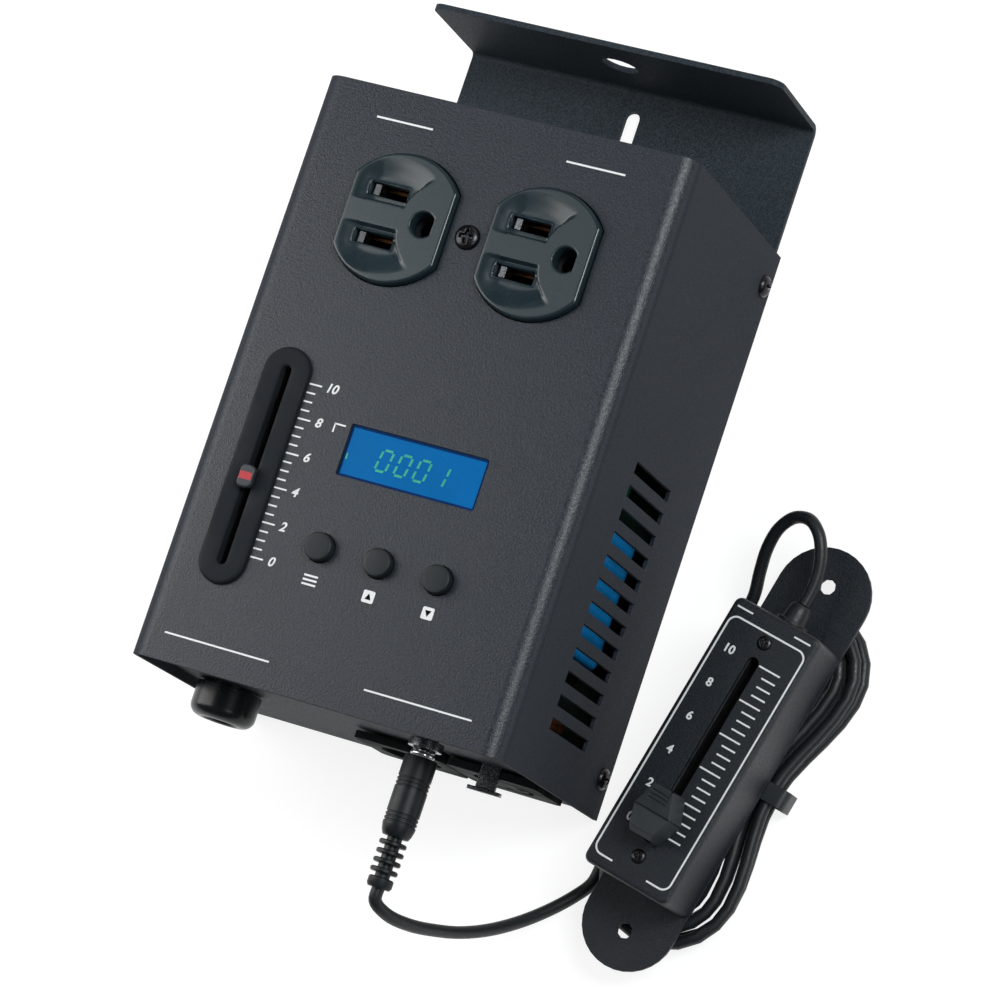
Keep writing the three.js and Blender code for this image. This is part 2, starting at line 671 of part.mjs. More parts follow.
function buildKeySwitch() {
  const low = boardTop + seat;
  const high = low + keySwitch.height;
  const well = alongZ(disc(key.stem + seat), low + keySwitch.floor, high + overrun, arcSteps);
  return cut(block(keySwitch.size, keySwitch.size, low, high), well);
}

function addBoardPosts() {
  let number = 1;
  for (const x of [board.left + board.postInset, board.right - board.postInset]) {
    for (const y of [board.low + board.postInset, board.high - board.postInset]) {
      const stem = alongZ(disc(post.radius), boardTop + seat, innerFront - seat);
      add(`board_standoff_${number}`, stem.translate(x, y, 0), looks.brass);
      number += 1;
    }
  }
}

// Power board and the parts that stand on it

function addPowerBoard() {
  const outline = rectangle(-boardSide, boardSide, boardLow, boardHigh);
  add('power_board', alongZ(outline, powerTop - board.thickness, powerTop), looks.circuit);
}

function buildTransformer() {
  const top = partFloor + transformer.height;
  const outline = roundedRectangle(transformer.width, transformer.length, transformer.coreLip);
  const winding = alongZ(outline, partFloor, top);
  const coreWidth = transformer.width - transformer.core * 2;
  const coreLength = transformer.length + transformer.coreLip * 2;
  const core = block(coreWidth, coreLength, partFloor + transformer.core, top - transformer.core);
  const x = innerHalf - transformer.fromSide - transformer.width * half;
  return join(winding, core).translate(x, upFromBottom(transformer), 0);
}

function buildReservoir() {
  const x = innerHalf - reservoir.fromSide - reservoir.radius;
  const top = partFloor + reservoir.height;
  const can = softTopped(disc(reservoir.radius), partFloor, top, reservoir.soft, roundSteps);
  return can.translate(x, upFromBottom(reservoir), 0);
}

function buildChoke() {
  const around = choke.turns * 2;
  const sides = roundSteps;
  const centre = choke.radius - choke.tube;
  const points = [];
  const faces = [];
  for (let i = 0; i < around; i += 1) {
    const turn = (i / around) * Math.PI * 2;
    const tube = choke.tube * (1 - choke.bulge * half * half * (i % 2));
    for (let k = 0; k < sides; k += 1) {
      const angle = (k / sides) * Math.PI * 2;
      const reach = centre + tube * Math.cos(angle);
      points.push(reach * Math.cos(turn), tube * Math.sin(angle), reach * Math.sin(turn));
      const next = (k + 1) % sides;
      const ring = ((i + 1) % around) * sides;
      faces.push(i * sides + k, ring + k, ring + next, i * sides + k, ring + next, i * sides + next);
    }
  }
  const torus = new THREE.BufferGeometry();
  torus.setAttribute('position', new THREE.Float32BufferAttribute(points, 3));
  torus.setIndex(faces);
  const x = innerHalf - choke.fromSide - choke.radius;
  return torus.translate(x, upFromBottom(choke), partFloor + choke.radius);
}

function buildHeatSink() {
  const left = -sink.width * half;
  const pitch = (sink.height - sink.fin) / (sink.fins - 1);
  const reach = sink.length * half;
  const spine = alongY(rectangle(-left - sink.base, -left, 0, sink.height), -reach, reach);
  const fins = [];
  for (let k = 0; k < sink.fins; k += 1) {
    const outline = rectangle(left, -left - sink.base * half, k * pitch, k * pitch + sink.fin);
    fins.push(alongY(outline, -reach, reach));
  }
  return join(spine, ...fins).translate(sink.x, upFromBottom(sink), partFloor);
}

function buildTriac() {
  const low = partFloor;
  const x = sink.x + sink.width * half + seat;
  const bodyShape = rectangle(0, triac.length, 0, triac.height);
  const tabShape = rectangle(0, triac.tabThickness, 0, triac.height + triac.tabHeight);
  const body = alongY(bodyShape, -triac.width * half, triac.width * half);
  const metalTab = alongY(tabShape, -triac.width * half, triac.width * half);
  const hole = alongX(disc(sideScrew.shank), -overrun, triac.length);
  hole.translate(0, 0, triac.height + triac.tabHeight * half);
  return cut(join(body, metalTab), hole).translate(x, upFromBottom(sink), low);
}

function buildFuse() {
  const base = block(fuse.length, fuse.width, 0, fuse.height);
  const reach = fuse.length * half + fuse.capLength;
  const tube = alongX(disc(fuse.cap), -reach, reach, roundSteps);
  return join(base, tube.translate(0, 0, fuse.height)).translate(fuse.x, upFromBottom(fuse), partFloor);
}

function buildTerminals() {
  const width = terminals.count * terminals.pitch;
  const body = block(width, terminals.depth, 0, terminals.height);
  const holes = [];
  for (let k = 0; k < terminals.count; k += 1) {
    const x = (k + half) * terminals.pitch - width * half;
    const [low, high] = [terminals.height - terminals.holeDepth, terminals.height + overrun];
    holes.push(alongZ(disc(terminals.hole), low, high).translate(x, 0, 0));
  }
  return cut(body, ...holes).translate(terminals.x, upFromBottom(terminals), partFloor);
}

function addPowerParts() {
  addPowerBoard();
  add('transformer', buildTransformer(), looks.blue);
  add('reservoir_capacitor', buildReservoir(), looks.green);
  add('filter_choke', buildChoke(), looks.copper);
  add('heat_sink', buildHeatSink(), looks.aluminium);
  add('triac', buildTriac(), looks.greyPlastic);
  add('fuse_block', buildFuse(), looks.greyPlastic);
  add('terminal_block', buildTerminals(), looks.green);
}

// Control data sockets on the bottom end: a pin socket in and a hole socket out with its release tab

function xlrShell(x, latched) {
  const outline = roundedRectangle(xlr.flangeWidth, xlr.flangeHeight, xlr.corner);
  const plate = alongY(outline, endFace - xlr.flange, endFace, 2);
  const barrel = alongY(disc(xlr.barrel), endFace - xlr.flange * half, endFace + xlr.depth, xlr.steps);
  const bore = alongY(disc(xlr.bore), endFace - xlr.flange - overrun, endFace + xlr.depth - xlr.floor, xlr.steps);
  const tools = [bore];
  if (latched) {
    const wide = latch.stem * half + seat;
    const slot = rectangle(-wide, wide, -latch.thickness - seat, latch.thickness + seat);
    tools.push(alongY(slot, endFace - xlr.flange - overrun, endFace + overrun).translate(0, 0, latchZ() - xlr.z));
  }
  return cut(join(plate, barrel), ...tools).translate(x, 0, xlr.z);
}

function pinPlaces(x) {
  return [0, 1, 2].map((k) => {
    const angle = Math.PI * half + (k - 1) * Math.PI * half;
    return [x + xlr.pinCircle * Math.cos(angle), xlr.z - xlr.pinCircle * Math.sin(angle)];
  });
}

function buildPinInsert(x) {
  const back = endFace + xlr.depth - xlr.floor - seat;
  const front = back - xlr.insertDepth;
  const base = alongY(disc(xlr.bore - seat), front, back, xlr.steps).translate(x, 0, xlr.z);
  const pins = pinPlaces(x).map(([px, pz]) => {
    return alongY(disc(xlr.pin), front - xlr.pinLength, back - seat).translate(px, 0, pz);
  });
  return join(base, ...pins);
}

function buildHoleInsert(x) {
  const back = endFace + xlr.depth - xlr.floor - seat;
  const front = endFace - xlr.flange;
  const foot = alongY(disc(xlr.bore - seat), back - xlr.insertDepth, back, xlr.steps);
  const nose = alongY(disc(xlr.plugRadius), front, back - seat, xlr.steps);
  const sockets = pinPlaces(0).map(([px, pz]) => {
    return alongY(disc(xlr.socket), front - overrun, back - xlr.insertDepth).translate(px, 0, pz - xlr.z);
  });
  return cut(join(foot, nose), ...sockets).translate(x, 0, xlr.z);
}

function buildLatch(x) {
  const head = endFace - xlr.flange - latch.proud;
  const thick = latch.thickness * half;
  const wide = latch.head * half;
  const back = endFace + latch.into;
  const stem = alongY(centredRectangle(latch.stem, latch.thickness), head, back);
  const bar = alongY(rectangle(-wide, wide, -thick, thick * 2), head - latch.headThickness, head);
  const hook = alongY(centredRectangle(latch.head, latch.thickness), endInside + latch.travel + overrun, back);
  return join(stem, bar, hook).translate(x, 0, latchZ());
}

function addSockets() {
  const outX = xlr.x + xlr.pitch;
  add('dmx_in_shell', xlrShell(xlr.x, false), looks.blackPlastic);
  add('dmx_in_insert', buildPinInsert(xlr.x), looks.greyPlastic);
  add('dmx_out_shell', xlrShell(outX, true), looks.blackPlastic);
  add('dmx_out_insert', buildHoleInsert(outX), looks.greyPlastic);
  add('dmx_out_latch', buildLatch(outX), looks.nickel);
}

// Remote jack, mains cord gland and their nuts

function nutShape(radius, sides) {
  const points = [];
  for (let k = 0; k < sides; k += 1) {
    const angle = ((k + half) / sides) * Math.PI * 2;
    points.push([radius * Math.cos(angle), radius * Math.sin(angle)]);
  }
  return polygon(points);
}

function addJack() {
  const nutLow = endFace - jack.nutHeight;
  const bushingTube = alongY(disc(jack.thread), nutLow - jack.proud, endInside + overrun, arcSteps);
  const back = endInside + jack.depth;
  const body = alongY(centredRectangle(jack.body, jack.bodyHeight), endInside + seat, back);
  const bore = alongY(disc(jack.bore), nutLow - jack.proud - overrun, back + overrun, arcSteps);
  add('remote_jack', cut(join(bushingTube, body), bore).translate(jack.x, 0, jack.z), looks.blackPlastic);
  const nut = alongY(nutShape(jack.nut, 12), nutLow, endFace, arcSteps);
  const thread = alongY(disc(jack.thread + seat), nutLow - overrun, endFace + overrun, arcSteps);
  add('jack_nut', cut(nut, thread).translate(jack.x, 0, jack.z), looks.nickel);
}

function glandProfile() {
  const points = [[gland.bore, -gland.depth], [gland.thread, -gland.depth], [gland.thread, 0], [gland.collar, 0]];
  for (let k = 0; k <= gland.bends; k += 1) {
    const angle = (k / gland.bends) * Math.PI * half;
    const inward = gland.round * (1 - Math.cos(angle));
    points.push([gland.collar - inward, gland.proud - gland.round * (1 - Math.sin(angle))]);
  }
  points.push([gland.bore + gland.soft, gland.proud], [gland.bore, gland.proud - gland.soft]);
  points.push([gland.bore, -gland.depth]);
  return points.map(([r, y]) => new THREE.Vector2(r, y));
}

function addGland() {
  const profile = glandProfile();
  const body = new THREE.LatheGeometry(profile, roundSteps * 2).rotateZ(Math.PI);
  add('cord_gland', body.translate(gland.x, endFace, gland.z), looks.glossPlastic);
  const nut = alongY(nutShape(gland.nut, 6), endInside + seat, endInside + seat + gland.nutHeight);
  const thread = alongY(disc(gland.thread + seat), endInside, endInside + gland.nutHeight + overrun, roundSteps);
  add('gland_nut', cut(nut, thread).translate(gland.x, 0, gland.z), looks.blackPlastic);
}

// Remote fader box, in its own frame: Y along the box, Z up from the floor

const remoteBase = remote.floor + remote.plate + seat;
const remoteTop = remoteBase + remote.height;
const remoteInner = remoteTop - remote.sheet;

function buildRemoteHousing() {
  const outline = roundedRectangle(remote.width, remote.length, remote.corner);
  const softBox = softTopped(outline, remoteBase - remote.soft * 2, remoteTop, remote.soft, 2);
  const above = block(remote.width * 2, remote.length * 2, remoteBase, remoteTop + overrun);
  const walls = remote.sheet * 2;
  const inside = block(remote.width - walls, remote.length - walls, remoteBase - overrun, remoteInner);
  const slot = alongZ(stadium(leverSlot.remoteWidth, leverSlotLength()), remoteInner - overrun, remoteTop + overrun);
  const bores = [-1, 1].map((side) => {
    const bore = alongZ(disc(remote.screwShank + seat), remoteInner - overrun, remoteTop + overrun);
    return bore.translate(0, side * remote.screwFromMiddle, 0);
  });
  const endWall = remote.length * half;
  const grommet = alongY(disc(bushing.body + seat), endWall - remote.sheet - overrun, endWall + overrun);
  grommet.translate(0, 0, remote.floor + bushing.height);
  return cut(keep(softBox, above), inside, slot, ...bores, grommet);
}

function buildRemotePlate() {
  const low = -remote.length * half - remote.bottomEar;
  const high = remote.length * half + remote.topEar;
  const outline = stadium(remote.width, high - low);
  const plate = alongZ(outline, remote.floor, remote.floor + remote.plate, roundSteps);
  plate.translate(0, (low + high) * half, 0);
  const holes = [low + remote.holeFromEnd, high - remote.holeFromEnd].map((y) => {
    const hole = alongZ(disc(remote.earHole), remote.floor - overrun, remote.floor + remote.plate + overrun);
    return hole.translate(0, y, 0);
  });
  return cut(plate, ...holes);
}

function buildRemoteBushing() {
  const profile = [
    [0, -remote.sheet - seat * 2], [bushing.body, -remote.sheet - seat * 2], [bushing.body, seat],
    [bushing.flange, seat], [bushing.flange, bushing.flangeHeight], [bushing.body, bushing.flangeHeight],
    [bushing.tip, bushing.length], [0, bushing.length],
  ].map(([r, y]) => new THREE.Vector2(r, y));
  const body = new THREE.LatheGeometry(profile, plug.sides);
  return body.translate(0, remote.length * half, remote.floor + bushing.height);
}

function knobOutline(width, endWidth, length) {
  const wide = width * half;
  const narrow = endWidth * half;
  const reach = length * half;
  const notch = knob.seam * half;
  const right = [[narrow, -reach], [wide, -notch], [wide - knob.seamDepth, 0], [wide, notch], [narrow, reach]];
  const left = right.map(([x, y]) => [-x, y]).reverse();
  return [...right, ...left];
}

function taperedPrism(lowOutline, highOutline, low, high) {
  const count = lowOutline.length;
  const lowPoints = lowOutline.map(([x, y]) => [x, y, low]);
  const points = [...lowPoints, ...highOutline.map(([x, y]) => [x, y, high])];
  const contour = lowOutline.map(([x, y]) => new THREE.Vector2(x, y));
  const faces = [];
  THREE.ShapeUtils.triangulateShape(contour, []).forEach(([a, b, c]) => {
    faces.push(c, b, a, a + count, b + count, c + count);
  });
  for (let k = 0; k < count; k += 1) {
    const next = (k + 1) % count;
    faces.push(k, next, next + count, k, next + count, k + count);
  }
  const prism = new THREE.BufferGeometry();
  prism.setAttribute('position', new THREE.Float32BufferAttribute(points.flat(), 3));
  prism.setIndex(faces);
  return prism;
}

function knobSide(low) {
  const back = knob.length * half + overrun;
  const front = -knob.topLength * half;
  const seamTop = low + knob.height - knob.rise;
  const slope = knob.rise / (knob.length * half);
  const notch = knob.seam * half;
  const points = [[back, low], [back, seamTop + slope * back], [notch, seamTop + slope * notch]];
  points.push([0, seamTop - knob.seamDepth], [-notch, seamTop], [front + knob.shoulder, seamTop]);
  const gripTop = seamTop - knob.shoulder;
  for (let k = 0; k < knob.grips; k += 1) {
    const z = gripTop - k * knob.gripPitch;
    points.push([front, z], [front + knob.grip, z - knob.gripPitch * half]);
  }
  points.push([front, gripTop - knob.grips * knob.gripPitch], [front, low]);
  return polygon(points);
}

function buildKnob() {
  const low = remoteTop + knob.lift;
  const high = low + knob.height;
  const lowOutline = knobOutline(knob.width, knob.endWidth, knob.length);
  const prism = taperedPrism(lowOutline, knobOutline(knob.topWidth, knob.topEndWidth, knob.topLength), low, high);
  const cap = keep(prism, alongX(knobSide(low), -knob.width, knob.width));
  const room = knob.wall * 2;
  const socket = block(remoteLever.width + room, remoteLever.length + room, low - overrun, low + knob.socket);
  const lines = [];
  for (let k = 0; k < knobLine.count; k += 1) {
    const y = knobLine.first + k * knobLine.pitch;
    const floor = high - knob.rise * (1 - y / (knob.length * half)) - knobLine.depth;
    lines.push(block(knobLine.length, knobLine.width, floor, high + overrun).translate(0, y, 0));
  }
  return cut(cap, socket, ...lines).translate(0, knobRest(), 0);
}

function knobRest() {
  return remoteRest - travel * half;
}

function buildRemoteLever() {
  const high = remoteTop + knob.lift + knob.socket - seat;
  return block(remoteLever.width, remoteLever.length, high - remoteLever.tall, high).translate(0, knobRest(), 0);
}

function addRemote() {
  const put = (name, geometry, look) => add(name, geometry, look, remoteGroup);
  put('remote_housing', buildRemoteHousing(), looks.powderCoat);
  put('remote_base', buildRemotePlate(), looks.powderCoat);
  const potTop = remoteInner - seat;
  const potLength = travel + pot.margin;
  const body = buildPot(pot.width, leverSlot.width, potLength, potTop - pot.depth, potTop, pot.depth - remote.sheet);
  const bores = [-1, 1].map((side) => {
    const bore = alongZ(disc(remote.screwShank + seat), potTop - pot.depth, potTop + overrun);
    return bore.translate(0, side * remote.screwFromMiddle, 0);
  });
  put('remote_pot', cut(body, ...bores), looks.steel);
  put('remote_lever', buildRemoteLever(), looks.steel);
  put('remote_knob', buildKnob(), looks.blackPlastic);
  [-1, 1].forEach((side, k) => {
    const screw = panScrew(remote.screwShank, remote.screwHead, remote.screwHeight, remote.screwLength);
    screw.rotateX(Math.PI * half).translate(0, side * remote.screwFromMiddle, remoteTop);
    put(`remote_screw_${k + 1}`, screw, looks.blackMetal);
  });
  put('remote_bushing', buildRemoteBushing(), looks.rubber);
}

// Plug in the remote jack, moulded in one with its ribbed strain relief

const plugSeat = endFace - jack.nutHeight - jack.proud - seat;

function plugProfile() {
  const body = plug.ringHeight + seat;
  const bodyEnd = body + plug.bodyLength;
  const points = [[0, body], [plug.body, body]];
  for (const share of plugGrooveShares) {
    const y = body + plug.bodyLength * share;
    const middle = y + plug.grooveWidth * half;
    points.push([plug.body, y], [plug.body - plug.groove, middle], [plug.body, y + plug.grooveWidth]);
  }
  points.push([plug.body, bodyEnd - plug.shoulderLength], [plug.shoulder, bodyEnd], [plug.core, bodyEnd]);
  for (let k = 0; k < plug.ribs; k += 1) {
    const low = bodyEnd + (k + half) * plug.ribPitch;
    const high = low + plug.ribPitch * half;
    points.push([plug.core, low], [plug.rib, low], [plug.rib, high], [plug.core, high]);
  }
  const collar = bodyEnd + (plug.ribs + half) * plug.ribPitch;
  const end = collar + plug.collarLength;
  points.push([plug.core, collar], [plug.collar, collar], [plug.collar, end], [0, end]);
  return points.map(([r, y]) => new THREE.Vector2(r, y));
}

function plugReach() {
  return plug.ringHeight + seat + plug.bodyLength + (plug.ribs + half) * plug.ribPitch + plug.collarLength;
}

function addPlug() {
  const body = new THREE.LatheGeometry(plugProfile(), plug.sides).rotateZ(Math.PI);
  add('plug_body', body.translate(jack.x, plugSeat, jack.z), looks.rubber);
  const tip = plug.pin * half;
  const profile = [
    [0, -plug.pinLength], [tip, -plug.pinLength], [plug.pin, -plug.pinLength + tip], [plug.pin, -plug.pinLength + tip * 2],
    [plug.pin - plug.groove, -plug.pinLength + tip * 3], [plug.pin, -plug.pinLength + tip * 4],
    [plug.pin, 0], [plug.ring, 0], [plug.ring, plug.ringHeight], [0, plug.ringHeight],
  ].map(([r, y]) => new THREE.Vector2(r, y));
  const pin = new THREE.LatheGeometry(profile, plug.sides).rotateZ(Math.PI);
  add('plug_pin', pin.translate(jack.x, plugSeat, jack.z), looks.nickel);
}

// Cords: the lead from the plug to the hank, the hank under the remote and the loop into its bushing

function waist(y) {
  const share = Math.min(Math.abs(y) / hank.halfRun, 1);
  return Math.cos(share * Math.PI * half) ** 2;
}

function hankPoint(turn) {
  const reversal = hank.turnsIn + hank.climb;
  const inward = Math.min(turn, hank.turnsIn);
  const outward = Math.max(turn - reversal, 0);
  const width = hank.halfWidth - hank.step * (inward - outward);
  const rise = Math.min(Math.max((turn - hank.turnsIn) / hank.climb, 0), 1);
  const quarter = Math.floor(turn * 4) % 4;
  const share = turn * 4 - Math.floor(turn * 4);
  const straightY = hank.halfRun * (share * 2 - 1);
  const angle = Math.PI * (1 - share);
  let x = 0;
  let y = 0;
  if (quarter === 0 || quarter === 2) {
    const side = quarter === 0 ? -1 : 1;
    y = -side * straightY;
    x = side * (width - hank.drawIn * waist(y));
  } else {
    const side = quarter === 1 ? 1 : -1;
    x = side * width * Math.cos(angle);
    y = side * (hank.halfRun + width * Math.sin(angle));
  }
  const z = cordRadius + rise * hank.layer + hank.lift * waist(y);
  return new THREE.Vector3(x + hank.offset, y, z);
}

function hankPath() {
  const turns = hank.turnsIn + hank.climb + hank.turnsOut;
  const steps = Math.round(turns * hank.stepsPerTurn);
  const path = [];
  for (let k = 0; k <= steps; k += 1) path.push(hankPoint((k / steps) * turns * (1 - Number.EPSILON)));
  const last = path[path.length - 1];
  path.unshift(path[0].clone().add(new THREE.Vector3(0, -hank.straight, 0)));
  path.push(last.clone().add(new THREE.Vector3(0, hank.straight, 0)));
  return path;
}

function tube(path, radius, sides) {
  const points = [];
  const faces = [];
  const up = new THREE.Vector3(0, 0, 1);
  path.forEach((point, i) => {
    const before = path[Math.max(i - 1, 0)];
    const after = path[Math.min(i + 1, path.length - 1)];
    const ahead = after.clone().sub(before).normalize();
    const side = ahead.clone().cross(up).normalize();
    const rise = side.clone().cross(ahead);
    for (let k = 0; k < sides; k += 1) {
      const angle = ((k + half) / sides) * Math.PI * 2;
      const spot = point.clone().addScaledVector(side, radius * Math.cos(angle));
      spot.addScaledVector(rise, radius * Math.sin(angle));
      points.push(...spot.toArray());
      const next = (k + 1) % sides;
      if (i > 0) {
        const [a, b] = [(i - 1) * sides, i * sides];
        faces.push(a + k, b + k, b + next, a + k, b + next, a + next);
      }
    }
  });
  const last = (path.length - 1) * sides;
  for (let k = 1; k < sides - 1; k += 1) faces.push(0, k, k + 1, last, last + k + 1, last + k);
  const geometry = new THREE.BufferGeometry();
  geometry.setAttribute('position', new THREE.Float32BufferAttribute(points, 3));
  geometry.setIndex(faces);
  return geometry;
}

function leastGap(path, diameter) {
  let least = Infinity;
  const fine = [];
  for (let i = 1; i < path.length; i += 1) fine.push(path[i - 1], path[i - 1].clone().lerp(path[i], half));
  const skip = Math.ceil(hank.stepsPerTurn * half);
  for (let i = 0; i < fine.length; i += 1) {
    for (let k = i + skip; k < fine.length; k += 1) least = Math.min(least, fine[i].distanceTo(fine[k]));
  }
  return least - diameter;
}

// The lead's route in the pack's frame, from the plug down to the floor and up to the hank's start
const leadRoute = [
  [24, -116.4, 59.4], [26.4, -118.6, 55], [29.8, -119, 48], [33, -118, 39.5], [36.6, -116, 30],
  [40.4, -112.4, 20], [44.4, -107.6, 11.5], [48.4, -102.4, 5.6], [52.2, -97.4, 2.4], [55.6, -92.6, 1.65],
];

// The loop's route in the remote's frame, from the hank's end round and down into the bushing
const loopRoute = [
  [-16.6, 41, 7.4], [-17.6, 47, 10], [-18, 53, 13.2], [-16.8, 58.6, 16.4], [-13.6, 62.6, 19],
  [-9.2, 63.6, 20.8], [-5.2, 61.4, 21], [-2.2, 57, 20.2], [-0.6, 52.4, 19.4],
];

function sweep(points, steps) {
  const curve = new THREE.CatmullRomCurve3(points, false, 'centripetal');
  return tube(curve.getSpacedPoints(steps), cordRadius, cord.sides);
}

function addCords() {
  const path = hankPath();
  const wound = tube(path, cordRadius, cord.hankSides);
  add('cord_hank', wound, looks.rubber, remoteGroup);
  console.log(`hank: least gap to itself ${leastGap(path, cord.diameter).toFixed(2)} mm`);
  remoteGroup.updateMatrix();
  const plugEnd = plugSeat - plugReach() - seat;
  const start = path[0].clone().add(new THREE.Vector3(0, -seat, 0));
  const before = start.clone().add(new THREE.Vector3(0, -hank.straight, 0));
  const lead = [
    new THREE.Vector3(jack.x, plugEnd, jack.z),
    ...leadRoute.map((point) => new THREE.Vector3(...point)),
    before.applyMatrix4(remoteGroup.matrix),
    start.applyMatrix4(remoteGroup.matrix),
  ];
  add('cord_lead', sweep(lead, cord.leadSteps), looks.rubber);
  const end = path[path.length - 1];
  const bushingEnd = remote.length * half + bushing.length + seat;
  const loop = [
    end.clone().add(new THREE.Vector3(0, seat, 0)),
    end.clone().add(new THREE.Vector3(0, hank.straight, 0)),
    ...loopRoute.map((point) => new THREE.Vector3(...point)),
    new THREE.Vector3(0, bushingEnd + hank.straight, remote.floor + bushing.height),
    new THREE.Vector3(0, bushingEnd, remote.floor + bushing.height),
  ];
  add('cord_loop', sweep(loop, cord.loopSteps), looks.rubber, remoteGroup);
  add('hank_tie', buildTie(), looks.blackPlastic, remoteGroup);
}

function buildTie() {
  const halfBundle = hank.halfWidth - hank.drawIn + cordRadius + seat * 2;
  const low = hank.lift - seat;
  const high = hank.lift + cord.diameter + hank.layer + seat;
  const ring = (grow) => {
    const shape = roundedRectangle((halfBundle + grow) * 2, high - low + grow * 2, cordRadius + grow);
    return alongY(shape, -tie.width * half, tie.width * half, 2);
  };
  const opening = ring(0).scale(1, 2, 1);
  return cut(ring(tie.band), opening).translate(hank.offset, 0, (low + high) * half);
}

// Assembly

add('chassis', buildChassis(), looks.powderCoat);
add('top_end_panel', buildTopPanel(), looks.powderCoat);
add('cover', buildCover(), looks.powderCoat);
addCoverScrews();
addOutlet();
addPanelFader();
addControls();
addBoardPosts();
addPowerParts();
addSockets();
addJack();
addGland();
addRemote();
addPlug();
addCords();

export default pack;
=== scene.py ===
# Looks for the dimmer pack: finishes, printed marks, moulded details, cords, light and camera.
import math

import bmesh
import bpy
from mathutils import Matrix, Vector
from mathutils.geometry import delaunay_2d_cdt


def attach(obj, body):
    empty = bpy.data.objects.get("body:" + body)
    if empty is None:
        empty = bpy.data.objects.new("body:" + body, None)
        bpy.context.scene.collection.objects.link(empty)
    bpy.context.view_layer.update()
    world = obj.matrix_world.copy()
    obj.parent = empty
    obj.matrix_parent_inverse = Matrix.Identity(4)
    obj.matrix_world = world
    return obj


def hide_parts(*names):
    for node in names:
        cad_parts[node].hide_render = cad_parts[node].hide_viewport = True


MM = 0.001

# Camera, fitted to the straight edges of the case in the photograph
CAMERA_PLACE = (432.24, -178.13, 1085.98)
CAMERA_RIGHT = (0.897985, 0.313594, -0.308678)
CAMERA_UP = (-0.242456, 0.938027, 0.24763)
CAMERA_BACK = (0.367204, -0.147528, 0.918366)
LENS = 163.18
SENSOR = 36
CLIP_NEAR = 0.01
CLIP_FAR = 20

# Sizes of the case and what is on it, in millimetres
FACE = 80.5
INNER_FACE = 79.3
END_FACE = -75.5
HALF_WIDTH = 51
VENT_MIDDLE = 39
OUTLETS = ((-19.45, 44.4), (19.45, 44.4))
KEYS = {"menu": -10.5, "up": 5.6, "down": 21.7}
KEY_Y = -39.6
JACK = (24, 60)
GLAND = (-38, 43)
PLUG_SEAT = -78.6
SIDE_SCREWS = ((1, 67), (1, -67), (-1, 67), (-1, -67))
SIDE_SCREW_Z = 6.5

# Front fader: its middle, half of its straight part, where the cap rests and the stripe on the cap
FADER = (-34.2, -24.2)
FADER_STRAIGHT = 24.7
FADER_REST = -3.6
CAP_TOP = 84.4
STRIPE_HALF = (1.7, 0.95)

# Display: middle and size, its dark rim (painted shade along the window's recessed edge), the slanted digits
# in it and the lit mark at its left
SCREEN = (5.6, -14.4, 37.4, 13)
SCREEN_TOP = 79.7
RIM = 0.55
RIM_LIFT = 0.015
RIM_STEP = 0.005
DIGITS = "0001"
SEGMENTS = {"0": "abcdef", "1": "bc"}
DIGIT_START = (-9.7, -3.0)
DIGIT_STEP = 5.15
DIGIT_SIZE = (2.9, 5.4)
DIGIT_LINE = 0.62
DIGIT_GAP = 0.62
DIGIT_SLANT = 0.17
LIT_MARK = {"inset": 0.9, "low": -2.2, "high": -0.6, "width": 0.45}

# Outlet face, about its own middle: the pad, the slots as x, y, length and width, the ground hole
PAD_TOP = 82.7
PAD_RADIUS = 17
PAD_FLAT = 14
PAD_SINK = 0.3
BLADES = (-4.2, 6.3, 10.4, 3.4)
SLOT_CORNER = 0.3
GROUND = (7.8, 3.2, 2.7)
PAD_EDGE = 0.8
SLOT_EDGE = 0.3
GROUND_EDGE = 0.45

# Pockets round the slots: depth, the web between them, the curved right wall, the dish and the left slope
POCKET_DEPTH = 1.5
WEB_HALF = 2.8
WEB_SLOPE = 0.9
WALL = {"x": 1.9, "middle": 3, "curve": 0.0825, "slope": 1.0, "wide_from": 9, "widening": 0.55}
DISH = {"inset": 1.5, "shift": 3.5, "squeeze": 0.85, "slope": 6.0}
LEFT_SLOPE = (0.4, 6.5)
LIP_HEIGHT = 0.22
LIP_WIDTH = 0.8

# Points of the outlet's mesh: grid step, distance kept from the holes and the edge, rings inside the edge
GRID = 0.26
HOLE_CLEAR = 0.12
EDGE_CLEAR = 0.2
EDGE_RINGS = (0.12, 0.3, 0.5, 0.7, 0.95, 1.2, 1.45)

# Springs seen in the slots, as distance along the slot and height
SPRING = ((0.1, 79.4), (1.2, 81.0), (2.6, 80.6), (3.2, 77.8))
SPRING_HALF = 1.35
SPRING_THICK = 0.3

# Screw heads as radius and height; the recess in shares of the head, its slopes in shares of its arm
OUTLET_HEAD = (3.3, 1.6)
SIDE_HEAD = (3, 1.9)
REMOTE_HEAD = (1.9, 0.7)
RECESS_DEPTH = 0.75
RECESS_ARM = 0.62
RECESS_HALF = 0.22
RECESS_WALL = 0.12
RECESS_END = 0.35
DOME_POWER = 2.6
HEAD_SINK = 0.05

# Sizes of the remote, in its own frame
REMOTE = (81.6, -55.5)
REMOTE_TURN = -0.232
REMOTE_TOP = 29.8
BUSHING = (38, 19)
BUSHING_REACH = 6.3
SCREW_OFF = 30.5

